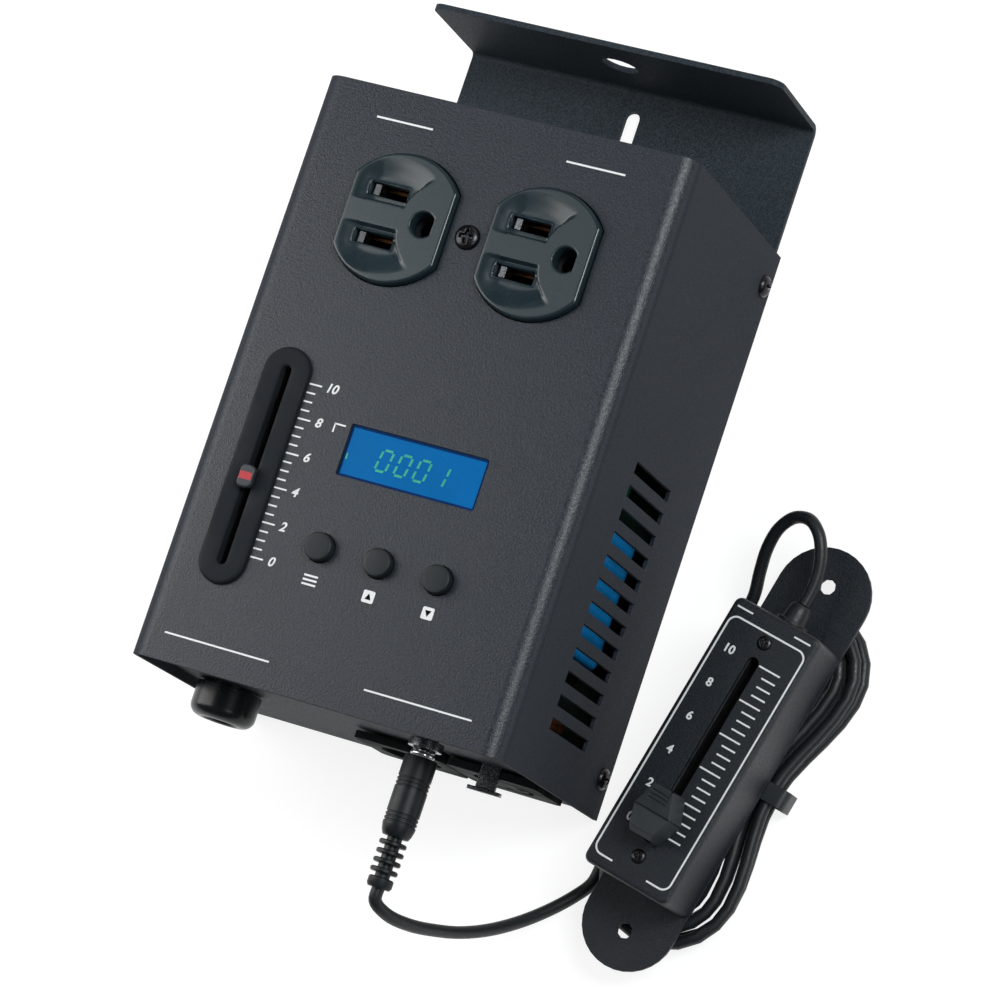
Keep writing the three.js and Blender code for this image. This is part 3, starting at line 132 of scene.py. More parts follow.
# Turned profiles as pairs of radius and height; an arc has its centre, radius, angles and steps
CONTACT_PROFILE = (
    (0, -14), (0.6, -14), (1.2, -13.4), (1.75, -12.9), (1.75, -12.2), (1.4, -11.6), (1.75, -10.8), (1.75, -8),
    (1.7, -7.9), (1.75, -7.8), (1.75, 0), (3.0, 0), (3.1, 0.2), (3.1, 0.8), (3.0, 1), (0, 1),
)
PLUG_FOOT = 1.3
PLUG_LENGTH = 20.5
PLUG_SHOULDER = ((0, 0), (3.7, 0), (4.1, 0.25), (4.2, 0.7))
PLUG_GROOVE = ((4.2, 0), (3.98, 0.16), (3.95, 0.3), (3.98, 0.44), (4.2, 0.6))
GROOVE_PLACES = (0.27, 0.32, 0.37, 0.71, 0.76, 0.81)
PLUG_TAIL = ((4.2, -2.8), (3.85, -1.2), (3.4, -0.2), (3.2, 0), (1.9, 0.1))
RIB = ((1.9, 0), (3.2, 0), (3.5, 0.25), (3.5, 0.9), (3.2, 1.15), (1.9, 1.15))
RIB_STEP = 2.3
RIB_COUNT = 4
COLLAR = ((1.9, 0), (2.9, 0), (3.2, 0.3), (3.2, 1.9), (2.8, 2.6), (0, 2.6))
GROMMET_PROFILE = (
    (0, -1.8), (3.3, -1.8), (3.3, 0.3), (4.2, 0.3), (4.4, 0.5), (4.4, 1.2), (4.2, 1.4), (3.3, 1.4),
    (3.25, 2.2), (3.0, 4.4), (2.7, 5.7), (2.5, 6), (0, 6),
)
KEY_STEM = ((0, -7.8), (1.4, -7.8), (1.4, -2.7), (4.8, -2.7), (4.8, -1.5), (3.6, -1.5))
KEY_ARC = (3.1, 1.95, 0.5, 0, 80, 5)
KEY_CROWN = ((2.4, 2.49), (1.2, 2.55), (0, 2.57))
BEZEL_SIDE = ((5.9, -1.2), (6.3, 0))
BEZEL_ARC = (5.3, 0.5, 1.0, 0, 90, 6)
BEZEL_THROAT = ((2.4, 1.5), (1.75, 1.42), (1.4, 1.2), (1.3, 0.9), (1.3, -1.2))
GLAND_FOOT = ((4.2, -9), (7, -9), (7, 0), (8.5, 0))
GLAND_ARC = (5.5, 5.6, 3, 0, 90, 12)
GLAND_MOUTH = ((5.1, 8.6), (4.6, 8.3), (4.3, 7.9), (4.2, 7.4), (4.2, -9))
DATA_PIN = ((0, 0), (1.2, 0), (1.2, 4.3), (0.8, 4.9), (0, 5))
DATA_IN = (8, -65.4, 26.6)
DATA_PINS = ((-4.6, 0), (0, -4.6), (4.6, 0))

# Cord
CORD = 3.3
HANK = {"run": 30, "half": 19, "step": 4.1, "layer": 3.8, "in": 2.5, "climb": 0.25, "out": 2.5, "draw": 5}
HANK_LIFT = 0.8
HANK_OFFSET = 2
HANK_STEPS = 40
SPAN_STEPS = 5
STRAIGHT = 3.4
LEAD_ROUTE = (
    (24, -116.4, 59.4), (26.4, -118.6, 55), (29.8, -119, 48), (33, -118, 39.5), (36.6, -116, 30),
    (40.4, -112.4, 20), (44.4, -107.6, 11.5), (48.4, -102.4, 5.6), (52.2, -97.4, 2.4), (55.6, -92.6, 1.65),
)
LOOP_ROUTE = (
    (-16.6, 41, 7.4), (-17.6, 47, 10), (-18, 53, 13.2), (-16.8, 58.6, 16.4), (-13.6, 62.6, 19),
    (-9.2, 63.6, 20.8), (-5.2, 61.4, 21), (-2.2, 57, 20.2), (-0.6, 52.4, 19.4),
)
PLUG_END = -113

# Printed marks: lines from x and y to x and y with their width, the remote's frame, scales and key marks
INK = 0.03
PRINT = FACE + INK
CASE_LINES = (
    (-33.8, 68.9, -18.2, 68.9, 0.5), (18.5, 68.9, 34.4, 68.9, 0.5),
    (-42.8, -70, -13.8, -70, 0.45), (12.3, -70, 41.3, -70, 0.45),
)
CORNER_LINES = ((-17.7, -8.9, -14.6, -8.9, 0.42), (-17.5, -8.9, -17.5, -11.1, 0.42))
REMOTE_LINES = ((-11, 35.5, -6.4, 35.5, 0.45), (5.9, 35.5, 10.7, 35.5, 0.45))
BORDER_ENDS = ((-5.2, -34.7), (5, -34.7))
BORDER_CORNERS = ((-8.8, -32.4, 270), (-8.8, 30.8, 180), (8.8, 30.8, 90), (8.8, -32.4, 0))
BORDER_RADIUS = 2.3
BORDER_WIDTH = 0.48
SCALE_STEPS = 20
SCALE_NUMBERS = ("0", "2", "4", "6", "8", "10")
CASE_SCALE = {
    "low": -46.3, "length": 45.4, "long": (-27.6, -24.1), "short": (-27.6, -25.2), "width": 0.42,
    "number_x": -21.9, "ten_x": -21.4, "size": 3.3, "shear": 0.22, "bold": 0.11,
}
REMOTE_SCALE = {
    "low": -23, "length": 48, "long": (1.9, 8), "short": (4, 8), "width": 0.45,
    "number_x": -7.2, "ten_x": -7.2, "size": 3.1, "shear": 0, "bold": 0.14,
}
NUMBER_FLATNESS = 0.2
ICON_Y = -48
ICON_SIZE = 3.1
ICON_CORNER = 0.4
ICON_LIFT = 0.02
ARROW = {"half": 0.85, "foot": 0.75, "tip": 0.9}
MENU_ROW = {"half": 1.9, "step": 1.1, "width": 0.5}

# Finishes: sizes of the paint's grain in millimetres, and where its edges count as seen at a low angle
PAINT_GRAIN = 0.62
PAINT_SPECK = 0.35
PAINT_PATCH = 26
LOW_ANGLE = (0.14, 0.42)
WINDOW_GLOW = 0.35
DIGIT_GLOW = 0.5
TAPE_BAND = (16.5, 46.5)
TAPE_EDGE = 0.3
TAPE_STRETCH = (1, 1, 0.25)
BRUSHED = (1, 0.08, 1)
ACROSS = (0.1, 1, 1)

# Softened copies: piece, width of the soft edge in millimetres, look, body and slot
SOFT_PIECES = (
    ("chassis", 0.25, "back_paint", "pack", "powder_coat"),
    ("top_end_panel", 0.2, "back_paint", "pack", "powder_coat"),
    ("remote_housing", 0.25, "remote_paint", "remote", "powder_coat"),
    ("remote_base", 0.2, "remote_paint", "remote", "powder_coat"),
    ("dmx_in_shell", 0.25, "socket", "pack", "black_plastic"),
    ("dmx_out_shell", 0.25, "socket", "pack", "black_plastic"),
    ("dmx_out_insert", 0.15, "socket", "pack", "grey_plastic"),
    ("dmx_out_latch", 0.15, "dark_nickel", "latch", "nickel"),
    ("jack_nut", 0.15, "dark_nickel", "pack", "nickel"),
    ("remote_jack", 0.15, "gloss", "pack", "black_plastic"),
    ("gland_nut", 0.3, "black", "pack", "black_plastic"),
    ("transformer", 1.2, "blue", "pack", "blue_plastic", 3),
    ("reservoir_capacitor", 0.3, "green", "pack", "green_plastic"),
    ("filter_choke", 0.2, "copper", "pack", "copper"),
)
PLAIN_PIECES = {
    "dark_steel": ("outlet_strap", "fader_pot", "remote_pot", "remote_lever"),
    # the outlet body is grey plastic; near-black here is painted shade where it shows through the slots and
    # the ground hole
    "hole": ("outlet_body",),
    "brass": ("outlet_contact_hot", "outlet_contact_neutral", *(f"board_standoff_{k}" for k in range(1, 5))),
    "grey": ("display_module", "menu_switch", "up_switch", "down_switch", "triac", "fuse_block"),
    "circuit": ("control_board", "power_board"),
    "aluminium": ("heat_sink",),
    "board_green": ("terminal_block",),
    "socket": ("dmx_in_insert",),
}
MERGE = 2e-6
FLAT_ANGLE = 0.6

# Stage: floor in metres, world, and lamps with place, target, size in metres, power and colour
FLOOR_HALF = 3.0
FLOOR_DROP = 0.0002
FLOOR_TONE = 0.26
FLOOR_ROUGHNESS = 0.9
FLOOR_SHINE = 0.1
FLOOR_GLOW = 0.84
WHITE = (1, 1, 1, 1)
WORLD_COLOUR = (0.9, 0.95, 1.0)
WORLD_LIGHT = 0.12
LAMPS = {
    "key": ((-360, -10, 300), (0, 0, 60), (0.3, 0.5), 1.7, (1.0, 0.985, 0.97)),
    "streak": ((740, 350, 1010), (40, 350, 40), (0.44, 0.6), 11.0, (0.97, 1.0, 1.0)),
    "panel": ((-345, 225, 1000), (10, 75, 80), (0.34, 0.3), 0.42, (0.93, 1.0, 1.0)),
    "fill": ((700, -280, 860), (60, 0, 40), (0.25, 0.25), 0.9, (0.95, 1.0, 1.0)),
    "rear": ((150, 1000, 420), (0, 60, 60), (0.7, 0.4), 0.6, (1.0, 1.0, 1.0)),
}

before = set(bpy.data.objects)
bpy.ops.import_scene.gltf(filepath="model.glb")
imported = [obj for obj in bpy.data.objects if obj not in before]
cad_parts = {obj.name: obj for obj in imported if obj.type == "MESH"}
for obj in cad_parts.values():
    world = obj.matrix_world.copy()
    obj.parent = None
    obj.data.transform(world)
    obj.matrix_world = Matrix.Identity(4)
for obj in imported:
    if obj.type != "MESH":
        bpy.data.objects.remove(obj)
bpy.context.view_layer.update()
remote_matrix = Matrix.Translation((REMOTE[0], REMOTE[1], 0)) @ Matrix.Rotation(REMOTE_TURN, 4, "Z")


# Objects and camera

def new_object(name, data):
    obj = bpy.data.objects.new(name, data)
    bpy.context.scene.collection.objects.link(obj)
    return obj


def make_camera():
    data = bpy.data.cameras.new("camera")
    data.lens = LENS
    data.sensor_width = SENSOR
    data.clip_start = CLIP_NEAR
    data.clip_end = CLIP_FAR
    camera = new_object("camera", data)
    axes = Matrix((CAMERA_RIGHT, CAMERA_UP, CAMERA_BACK)).transposed().to_4x4()
    camera.matrix_world = Matrix.Translation(Vector(CAMERA_PLACE) * MM) @ axes
    bpy.context.scene.camera = camera


make_camera()


# Material nodes

def add_node(tree, kind, **values):
    made = tree.nodes.new(kind)
    for key, value in values.items():
        if hasattr(made, key):
            setattr(made, key, value)
        else:
            made.inputs[key.replace("_", " ")].default_value = value
    return made


class Look:
    """A principled material with helpers that add noise, bump and colour variation."""

    def __init__(self, name, base, roughness, metallic=0.0, **inputs):
        self.material = bpy.data.materials.new(name)
        self.material.use_nodes = True
        self.tree = self.material.node_tree
        self.shader = self.tree.nodes["Principled BSDF"]
        self.shader.inputs["Base Color"].default_value = (*base, 1)
        self.shader.inputs["Roughness"].default_value = roughness
        self.shader.inputs["Metallic"].default_value = metallic
        for key, value in inputs.items():
            self.shader.inputs[key.replace("_", " ")].default_value = value
        self.base = base
        self.roughness = roughness
        self.place = self.node("ShaderNodeTexCoord").outputs["Object"]
        self.height = None
        self.colour = None

    def node(self, kind, **values):
        return add_node(self.tree, kind, **values)

    def link(self, start, end):
        self.tree.links.new(start, end)

    def noise(self, size_mm, detail=2.0, rough=0.5, stretch=None):
        made = self.node("ShaderNodeTexNoise", Scale=1 / (size_mm * MM), Detail=detail, Roughness=rough)
        start = self.place
        if stretch:
            mapping = self.node("ShaderNodeMapping")
            mapping.inputs["Scale"].default_value = stretch
            self.link(self.place, mapping.inputs["Vector"])
            start = mapping.outputs["Vector"]
        self.link(start, made.inputs["Vector"])
        return made.outputs["Fac"]

    def ramp(self, value, low, high, low_out, high_out):
        made = self.node("ShaderNodeMapRange", From_Min=low, From_Max=high, To_Min=low_out, To_Max=high_out)
        self.link(value, made.inputs["Value"])
        return made.outputs["Result"]

    def tint(self, value, colour, low=0.35, high=0.65, strength=1.0):
        mix = self.node("ShaderNodeMix", data_type="RGBA")
        start = self.colour
        if start is None:
            mix.inputs[6].default_value = (*self.base, 1)
        else:
            self.link(start, mix.inputs[6])
        mix.inputs[7].default_value = (*colour, 1)
        self.link(self.ramp(value, low, high, 0, strength), mix.inputs[0])
        self.colour = mix.outputs[2]
        self.link(self.colour, self.shader.inputs["Base Color"])
        return self

    def gloss(self, value, low_out, high_out, low=0.35, high=0.65):
        self.link(self.ramp(value, low, high, low_out, high_out), self.shader.inputs["Roughness"])
        return self

    def dull_edge(self, amount):
        """Rougher where the surface is seen at a low angle, as coarse paint is."""
        weight = self.node("ShaderNodeLayerWeight", Blend=0.5)
        added = self.ramp(weight.outputs["Facing"], *LOW_ANGLE, 0, amount)
        total = self.node("ShaderNodeMath", operation="ADD")
        self.link(self.shader.inputs["Roughness"].links[0].from_socket, total.inputs[0])
        self.link(added, total.inputs[1])
        self.link(total.outputs[0], self.shader.inputs["Roughness"])
        return self

    def bump(self, value, depth_mm, strength=1.0):
        made = self.node("ShaderNodeBump", Strength=strength, Distance=depth_mm * MM)
        self.link(value, made.inputs["Height"])
        if self.height is not None:
            self.link(self.height, made.inputs["Normal"])
        self.height = made.outputs["Normal"]
        self.link(self.height, self.shader.inputs["Normal"])
        return self

    def glow(self, strength):
        self.link(self.colour, self.shader.inputs["Emission Color"])
        self.shader.inputs["Emission Strength"].default_value = strength
        return self


def shade(colour, share):
    return tuple(c * share for c in colour)


def powder_coat(name, base, roughness, contrast=0.3, shine=0.4, dull=0.0):
    """Textured paint: fine pimples, darker pits and a slow change of tone."""
    look = Look(name, base, roughness, Specular_IOR_Level=shine)
    grain = look.noise(PAINT_GRAIN, 3, 0.6)
    speck = look.noise(PAINT_SPECK, 1)
    patch = look.noise(PAINT_PATCH)
    look.tint(grain, shade(base, 1.1 + contrast), 0.5, 0.62, 0.8)
    look.tint(grain, shade(base, 1 - contrast), 0.5, 0.38, 0.8)
    look.tint(speck, shade(base, 0.45), 0.54, 0.64, 0.8)
    look.tint(speck, shade(base, 1.9), 0.45, 0.35, 0.7)
    look.tint(patch, shade(base, 1.12), 0.4, 0.7, 0.3)
    look.gloss(grain, roughness * 0.85, min(1, roughness * 1.2)).dull_edge(dull)
    return look.bump(grain, 0.11, 0.9).bump(speck, 0.07, 0.8).material


def moulded(name, base, roughness, grain_mm=0.3, depth=0.012, shine=0.5):
    """Plastic with a fine grain and slow patches of another tone."""
    look = Look(name, base, roughness, Specular_IOR_Level=shine)
    grain = look.noise(grain_mm)
    patch = look.noise(9, 3, 0.6)
    lighter = tuple(min(1, c * 1.5 + 0.006) for c in base)
    look.tint(patch, lighter, 0.4, 0.75, 0.5)
    look.tint(grain, shade(base, 0.7), 0.45, 0.8, 0.4)
    look.gloss(patch, roughness * 0.85, min(1, roughness * 1.2))
    return look.bump(grain, depth, 0.6).material


def metal(name, base, roughness, stretch=(1, 1, 1)):
    """Bare metal with fine scratches, drawn out where it is brushed."""
    look = Look(name, base, roughness, 1.0)
    scratch = look.noise(0.35, 4, 0.6, stretch)
    patch = look.noise(6, 3, 0.6)
    look.tint(patch, shade(base, 0.72), 0.4, 0.75, 0.7)
    look.gloss(scratch, roughness * 0.7, min(1, roughness * 1.35))
    return look.bump(scratch, 0.006, 0.5).material


def rubber_cord():
    look = Look("cord_rubber", (0.0085, 0.0105, 0.0125), 0.46, Specular_IOR_Level=0.4)
    fine = look.noise(0.8, 3, 0.6)
    slow = look.noise(14)
    look.tint(slow, (0.015, 0.018, 0.021), 0.4, 0.7, 0.7)
    look.gloss(fine, 0.36, 0.52)
    return look.bump(fine, 0.02, 0.5).material


def ink(name, base):
    look = Look(name, base, 0.55)
    fine = look.noise(0.3)
    look.tint(fine, shade(base, 0.82), 0.5, 0.8, 0.6)
    return look.bump(fine, 0.008, 0.5).material


def blue_window():
    look = Look("blue_window", (0.0, 0.084, 0.25), 0.25, Specular_IOR_Level=0.06)
    slow = look.noise(13, 1, 0.4)
    fine = look.noise(0.6)
    look.tint(slow, (0.0, 0.1, 0.31), 0.3, 0.75, 0.6)
    look.tint(fine, (0.0, 0.062, 0.2), 0.5, 0.8, 0.25)
    return look.glow(WINDOW_GLOW).gloss(slow, 0.2, 0.3).material


def lit_digits():
    look = Look("lit_digits", (0.0, 0.2, 0.13), 0.35)
    fine = look.noise(0.5)
    look.tint(fine, (0.0, 0.3, 0.18), 0.4, 0.7, 0.8)
    return look.glow(DIGIT_GLOW).material


def circuit():
    look = Look("circuit_green", (0.002, 0.009, 0.006), 0.4)
    tracks = look.noise(2.2, 4, 0.8)
    look.tint(tracks, (0.004, 0.02, 0.011), 0.5, 0.55, 0.8)
    return look.bump(tracks, 0.02, 0.5).material


def wound_copper():
    look = Look("wound_copper", (0.42, 0.16, 0.06), 0.35, 0.85)
    wave = look.noise(1.2, 1)
    look.tint(wave, (0.2, 0.06, 0.02), 0.45, 0.6, 0.8)
    return look.bump(wave, 0.2, 0.8).material


def taped(name, base, plain=None):
    """Wrapped in tape all over, or between two heights with a plain tone above and below it."""
    look = Look(name, base, 0.32)
    wrinkle = look.noise(3.5, 2, 0.5, TAPE_STRETCH)
    look.tint(wrinkle, shade(base, 0.45), 0.5, 0.8, 0.8)
    if plain:
        parts = look.node("ShaderNodeSeparateXYZ")
        look.link(look.place, parts.inputs[0])
        low, high = (h * MM for h in TAPE_BAND)
        look.tint(parts.outputs["Z"], plain, high, high + TAPE_EDGE * MM)
        look.tint(parts.outputs["Z"], plain, low, low - TAPE_EDGE * MM)
    return look.gloss(wrinkle, 0.22, 0.45).bump(wrinkle, 0.15, 0.7).material


LOOKS = {
    "powder": powder_coat("powder_coat", (0.0135, 0.018, 0.0265), 0.38, contrast=0.5, shine=0.48, dull=0.5),
    "back_paint": powder_coat("back_powder_coat", (0.021, 0.029, 0.037), 0.6, contrast=0.5, shine=0.2),
    "remote_paint": powder_coat("remote_powder_coat", (0.0075, 0.0105, 0.0155), 0.46, contrast=0.25),
    "black": moulded("satin_black", (0.014, 0.017, 0.0195), 0.42),
    "socket": moulded("socket_black", (0.009, 0.011, 0.012), 0.7, shine=0.12),
    "outlet": moulded("outlet_black", (0.0095, 0.02, 0.0255), 0.26, depth=0.003),
    "bezel": moulded("bezel_black", (0.0075, 0.0098, 0.0135), 0.7, grain_mm=0.25, depth=0.02, shine=0.2),
    "key": moulded("key_black", (0.0115, 0.015, 0.0175), 0.5, grain_mm=0.2, depth=0.014, shine=0.32),
    "knob": moulded("knob_black", (0.02, 0.025, 0.03), 0.45, grain_mm=0.25),
    "gloss": moulded("gloss_black", (0.0075, 0.009, 0.011), 0.26, grain_mm=0.6, depth=0.004, shine=0.35),
    "grey": moulded("dark_grey", (0.045, 0.05, 0.055), 0.5),
    # near-black: print colour for the key arrows, and painted shade on the outlet body seen through its holes
    "hole": moulded("arrow_print_and_painted_shade", (0.002, 0.002, 0.0025), 0.9, shine=0.05),
    "screw": metal("black_zinc", (0.045, 0.045, 0.051), 0.3),
    "dark_steel": metal("dark_steel", (0.075, 0.078, 0.085), 0.5, BRUSHED),
    "nickel": metal("bright_nickel", (0.68, 0.68, 0.7), 0.2),
    "dark_nickel": metal("black_nickel", (0.27, 0.275, 0.29), 0.22),
    "brass": metal("contact_brass", (0.12, 0.053, 0.021), 0.35, ACROSS),
    "aluminium": metal("sink_aluminium", (0.42, 0.43, 0.44), 0.42, BRUSHED),
    "copper": wound_copper(),
    "cord": rubber_cord(),
    "plug": moulded("plug_rubber", (0.006, 0.0085, 0.0105), 0.42, grain_mm=0.7, depth=0.01, shine=0.3),
    "white": ink("white_ink", (0.78, 0.79, 0.8)),
    "red": ink("red_stripe", (0.42, 0.022, 0.032)),
    "window": blue_window(),
    # dark blue for the strips round the display window: painted shade of its recessed edge
    "rim": moulded("window_edge_painted_shade", (0.0005, 0.021, 0.1), 0.5, depth=0.004, shine=0.06),
    "digits": lit_digits(),
    "circuit": circuit(),
    "blue": taped("blue_tape", (0.012, 0.3, 0.76), (0.006, 0.006, 0.007)),
    "green": taped("green_sleeve", (0.006, 0.74, 0.42)),
    "board_green": taped("terminal_green", (0.008, 0.2, 0.09)),
}


# Meshes

def place(name, mesh, look, body, *replaced, slot=None):
    obj = new_object(name, mesh)
    mesh.materials.append(LOOKS[look])
    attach(obj, body)
    if replaced:
        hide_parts(*replaced)
    return obj


def in_metres(turn):
    moved = turn.copy()
    moved.translation = turn.translation * MM
    return moved


def mesh_of(name, points, faces, turn=None):
    mesh = bpy.data.meshes.new(name)
    scaled = [Vector(p) * MM for p in points]
    mesh.from_pydata(scaled, [], faces)
    if turn is not None:
        mesh.transform(in_metres(turn))
    mesh.validate()
    return mesh


def smooth(mesh, angle=35):
    work = bmesh.new()
    work.from_mesh(mesh)
    bmesh.ops.recalc_face_normals(work, faces=work.faces)
    limit = math.radians(angle)
    for face in work.faces:
        face.smooth = True
    for edge in work.edges:
        edge.smooth = len(edge.link_faces) == 2 and edge.calc_face_angle(0) < limit
    work.to_mesh(mesh)
    work.free()
    return mesh


def soften(obj, width, segments=2, angle=32):
    bevel = obj.modifiers.new("soft_edges", "BEVEL")
    bevel.width = width * MM
    bevel.segments = segments
    bevel.limit_method = "ANGLE"
    bevel.angle_limit = math.radians(angle)
    bevel.use_clamp_overlap = True
    bevel.miter_outer = "MITER_ARC"
    weight = obj.modifiers.new("even_shading", "WEIGHTED_NORMAL")
    weight.keep_sharp = True


def refined(node, width, look, body, slot=None, segments=2, angle=32, lines=()):
    """A copy of a node with softened edges; lines are heights or rows at which its flat faces part."""
    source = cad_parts[node].data
    work = bmesh.new()
    corners = [work.verts.new(v.co) for v in source.vertices]
    for face in source.polygons:
        try:
            work.faces.new([corners[i] for i in face.vertices])
        except ValueError:
            continue
    bmesh.ops.remove_doubles(work, verts=work.verts, dist=MERGE)
    bmesh.ops.dissolve_limit(work, angle_limit=math.radians(FLAT_ANGLE), verts=work.verts, edges=work.edges)
    for spot, across in lines:
        everything = [*work.verts, *work.edges, *work.faces]
        bmesh.ops.bisect_plane(work, geom=everything, dist=1e-6, plane_co=Vector(spot) * MM, plane_no=across)
    bmesh.ops.connect_verts_concave(work, faces=work.faces)
    for face in work.faces:
        face.smooth = True
    mesh = bpy.data.meshes.new(f"{node}_form")
    work.to_mesh(mesh)
    work.free()
    soften(place(f"{node}_form", mesh, look, body, node, slot=slot), width, segments, angle)


def unit_circle(steps):
    return [(math.cos(2 * math.pi * k / steps), math.sin(2 * math.pi * k / steps)) for k in range(steps)]


def lathe(profile, steps=48):
    """A closed turned form about +Z from (radius, height) pairs."""
    points = []
    faces = []
    rings = []
    circle = unit_circle(steps)
    for radius, height in profile:
        spots = circle if radius else [(0, 0)]
        rings.append(range(len(points), len(points) + len(spots)))
        points += [(radius * c, radius * s, height) for c, s in spots]
    for a, b in zip(rings, rings[1:]):
        for k in range(steps):
            n = (k + 1) % steps
            if len(a) == 1:
                faces.append((a[0], b[k], b[n]))
            elif len(b) == 1:
                faces.append((a[k], b[0], a[n]))
            else:
                faces.append((a[k], b[k], b[n], a[n]))
    return points, faces


def arc(x, y, radius, start, end, steps):
    found = []
    for k in range(steps + 1):
        angle = math.radians(start + (end - start) * k / steps)
        found.append((x + radius * math.cos(angle), y + radius * math.sin(angle)))
    return found


def raised(pairs, height):
    """A profile of (radius, height) pairs, moved up."""
    return [(r, height + h) for r, h in pairs]


# Turns that point a form out of the lower end and out of the top end
END_OUT = Matrix.Rotation(math.radians(90), 4, "X")
TOP_OUT = Matrix.Rotation(math.radians(-90), 4, "X")


def at(x, y, z, turn=None):
    return Matrix.Translation((x, y, z)) @ (turn or Matrix.Identity(4))


def turned(name, profile, spot, look, body, *replaced, slot=None, steps=48):
    points, faces = lathe(profile, steps)
    mesh = smooth(mesh_of(name, points, faces, spot))
    return place(name, mesh, look, body, *replaced, slot=slot)


# Cords: one line from the plug to the hank, round its turns, over the top and into the remote

def waist(y):
    share = min(abs(y) / HANK["run"], 1)
    return math.cos(share * math.pi / 2) ** 2


def hank_point(turn):
    reversal = HANK["in"] + HANK["climb"]
    width = HANK["half"] - HANK["step"] * (min(turn, HANK["in"]) - max(turn - reversal, 0))
    rise = min(max((turn - HANK["in"]) / HANK["climb"], 0), 1)
    quarter = math.floor(turn * 4) % 4
    share = turn * 4 - math.floor(turn * 4)
    if quarter in (0, 2):
        side = -1 if quarter == 0 else 1
        y = -side * HANK["run"] * (share * 2 - 1)
        x = side * (width - HANK["draw"] * waist(y))
    else:
        side = 1 if quarter == 1 else -1
        angle = math.pi * (1 - share)
        x = side * width * math.cos(angle)
        y = side * (HANK["run"] + width * math.sin(angle))
    z = CORD / 2 + rise * HANK["layer"] + HANK_LIFT * waist(y)
    return Vector((x + HANK_OFFSET, y, z))


def hank_path():
    turns = HANK["in"] + HANK["climb"] + HANK["out"]
    steps = round(turns * HANK_STEPS)
    path = [hank_point(k / steps * turns * (1 - 1e-12)) for k in range(steps + 1)]
    path.insert(0, path[0] - Vector((0, STRAIGHT, 0)))
    path.append(path[-1] + Vector((0, STRAIGHT, 0)))
    return path


def between(a, b, start, end, t):
    return a * ((end - t) / (end - start)) + b * ((t - start) / (end - start))


def catmull(points, per_span):
    """Points on a centripetal curve through the given ones."""
    ends = [points[0] * 2 - points[1], *points, points[-1] * 2 - points[-2]]
    found = []
    for a, b, c, d in zip(ends, ends[1:], ends[2:], ends[3:]):
        t0 = 0
        t1 = t0 + math.sqrt((b - a).length)
        t2 = t1 + math.sqrt((c - b).length)
        t3 = t2 + math.sqrt((d - c).length)
        for k in range(per_span):
            t = t1 + (t2 - t1) * k / per_span
            a1 = between(a, b, t0, t1, t)
            a2 = between(b, c, t1, t2, t)
            a3 = between(c, d, t2, t3, t)
            b1 = between(a1, a2, t0, t2, t)
            b2 = between(a2, a3, t1, t3, t)
            found.append(between(b1, b2, t1, t2, t))
    found.append(points[-1])
    return found


def cord_points():
    hank = hank_path()
    bushing_end = Vector((0, BUSHING[0] + BUSHING_REACH, BUSHING[1]))
    loop = [hank[-1], *[Vector(p) for p in LOOP_ROUTE], bushing_end + Vector((0, STRAIGHT, 0)), bushing_end]
    lead = [Vector((JACK[0], PLUG_END, JACK[1])), *[Vector(p) for p in LEAD_ROUTE]]
    lead += [remote_matrix @ (hank[0] - Vector((0, STRAIGHT, 0))), remote_matrix @ hank[0]]
    line = catmull(lead, SPAN_STEPS)
    line += [remote_matrix @ p for p in hank[1:-1]]
    line += [remote_matrix @ p for p in catmull(loop, SPAN_STEPS)]
    return line


def make_cord():
    line = cord_points()
    curve = bpy.data.curves.new("remote_cord", "CURVE")
    curve.dimensions = "3D"
    curve.bevel_depth = CORD / 2 * MM
    curve.bevel_resolution = 4
    curve.use_fill_caps = True
    spline = curve.splines.new("POLY")
    spline.points.add(len(line) - 1)
    for point, p in zip(spline.points, line):
        point.co = (*(p * MM), 1)
    spline.use_smooth = True
    obj = new_object("remote_cord", curve)
    curve.materials.append(LOOKS["cord"])
    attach(obj, "remote")
    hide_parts("cord_lead", "cord_hank", "cord_loop")
    length = sum((b - a).length for a, b in zip(line, line[1:])) * MM
    print(f"cord length {length:.3f} m")
    return obj, line, length


def make_plug(spot):
    end = PLUG_FOOT + PLUG_LENGTH
    profile = raised(PLUG_SHOULDER, PLUG_FOOT)
    for share in GROOVE_PLACES:
        profile += raised(PLUG_GROOVE, PLUG_FOOT + PLUG_LENGTH * share)
    profile += raised(PLUG_TAIL, end)
    for k in range(RIB_COUNT):
        profile += raised(RIB, end + (k + 0.5) * RIB_STEP)
    profile += raised(COLLAR, end + (RIB_COUNT + 0.5) * RIB_STEP)
    return turned("plug_moulding", profile, spot, "plug", "remote", "plug_body", slot="rubber", steps=40)


def make_cords():
    spot = at(JACK[0], PLUG_SEAT, JACK[1], END_OUT)
    plug = make_plug(spot)
    contact = turned(
        "plug_contact", CONTACT_PROFILE, spot, "nickel", "remote", "plug_pin", slot="nickel", steps=32,
    )
    obj, line, length = make_cord()
    refined("hank_tie", 0.2, "black", "remote", "black_plastic")


make_cords()


# Printed marks

def flat_shape(name, outlines, height, look, body, turn=None):
    """Thin raised polygons, each a list of (x, y), printed at a height."""
    points = []
    faces = []
    for outline in outlines:
        start = len(points)
        points += [(x, y, height) for x, y in outline]
        faces.append(tuple(range(start, start + len(outline))))
    place(name, mesh_of(name, points, faces, turn), look, body)


def bar(x0, y0, x1, y1, width):
    along = Vector((x1 - x0, y1 - y0)).normalized() * (width / 2)
    dx, dy = -along.y, along.x
    return [(x0 - dx, y0 - dy), (x1 - dx, y1 - dy), (x1 + dx, y1 + dy), (x0 + dx, y0 + dy)]


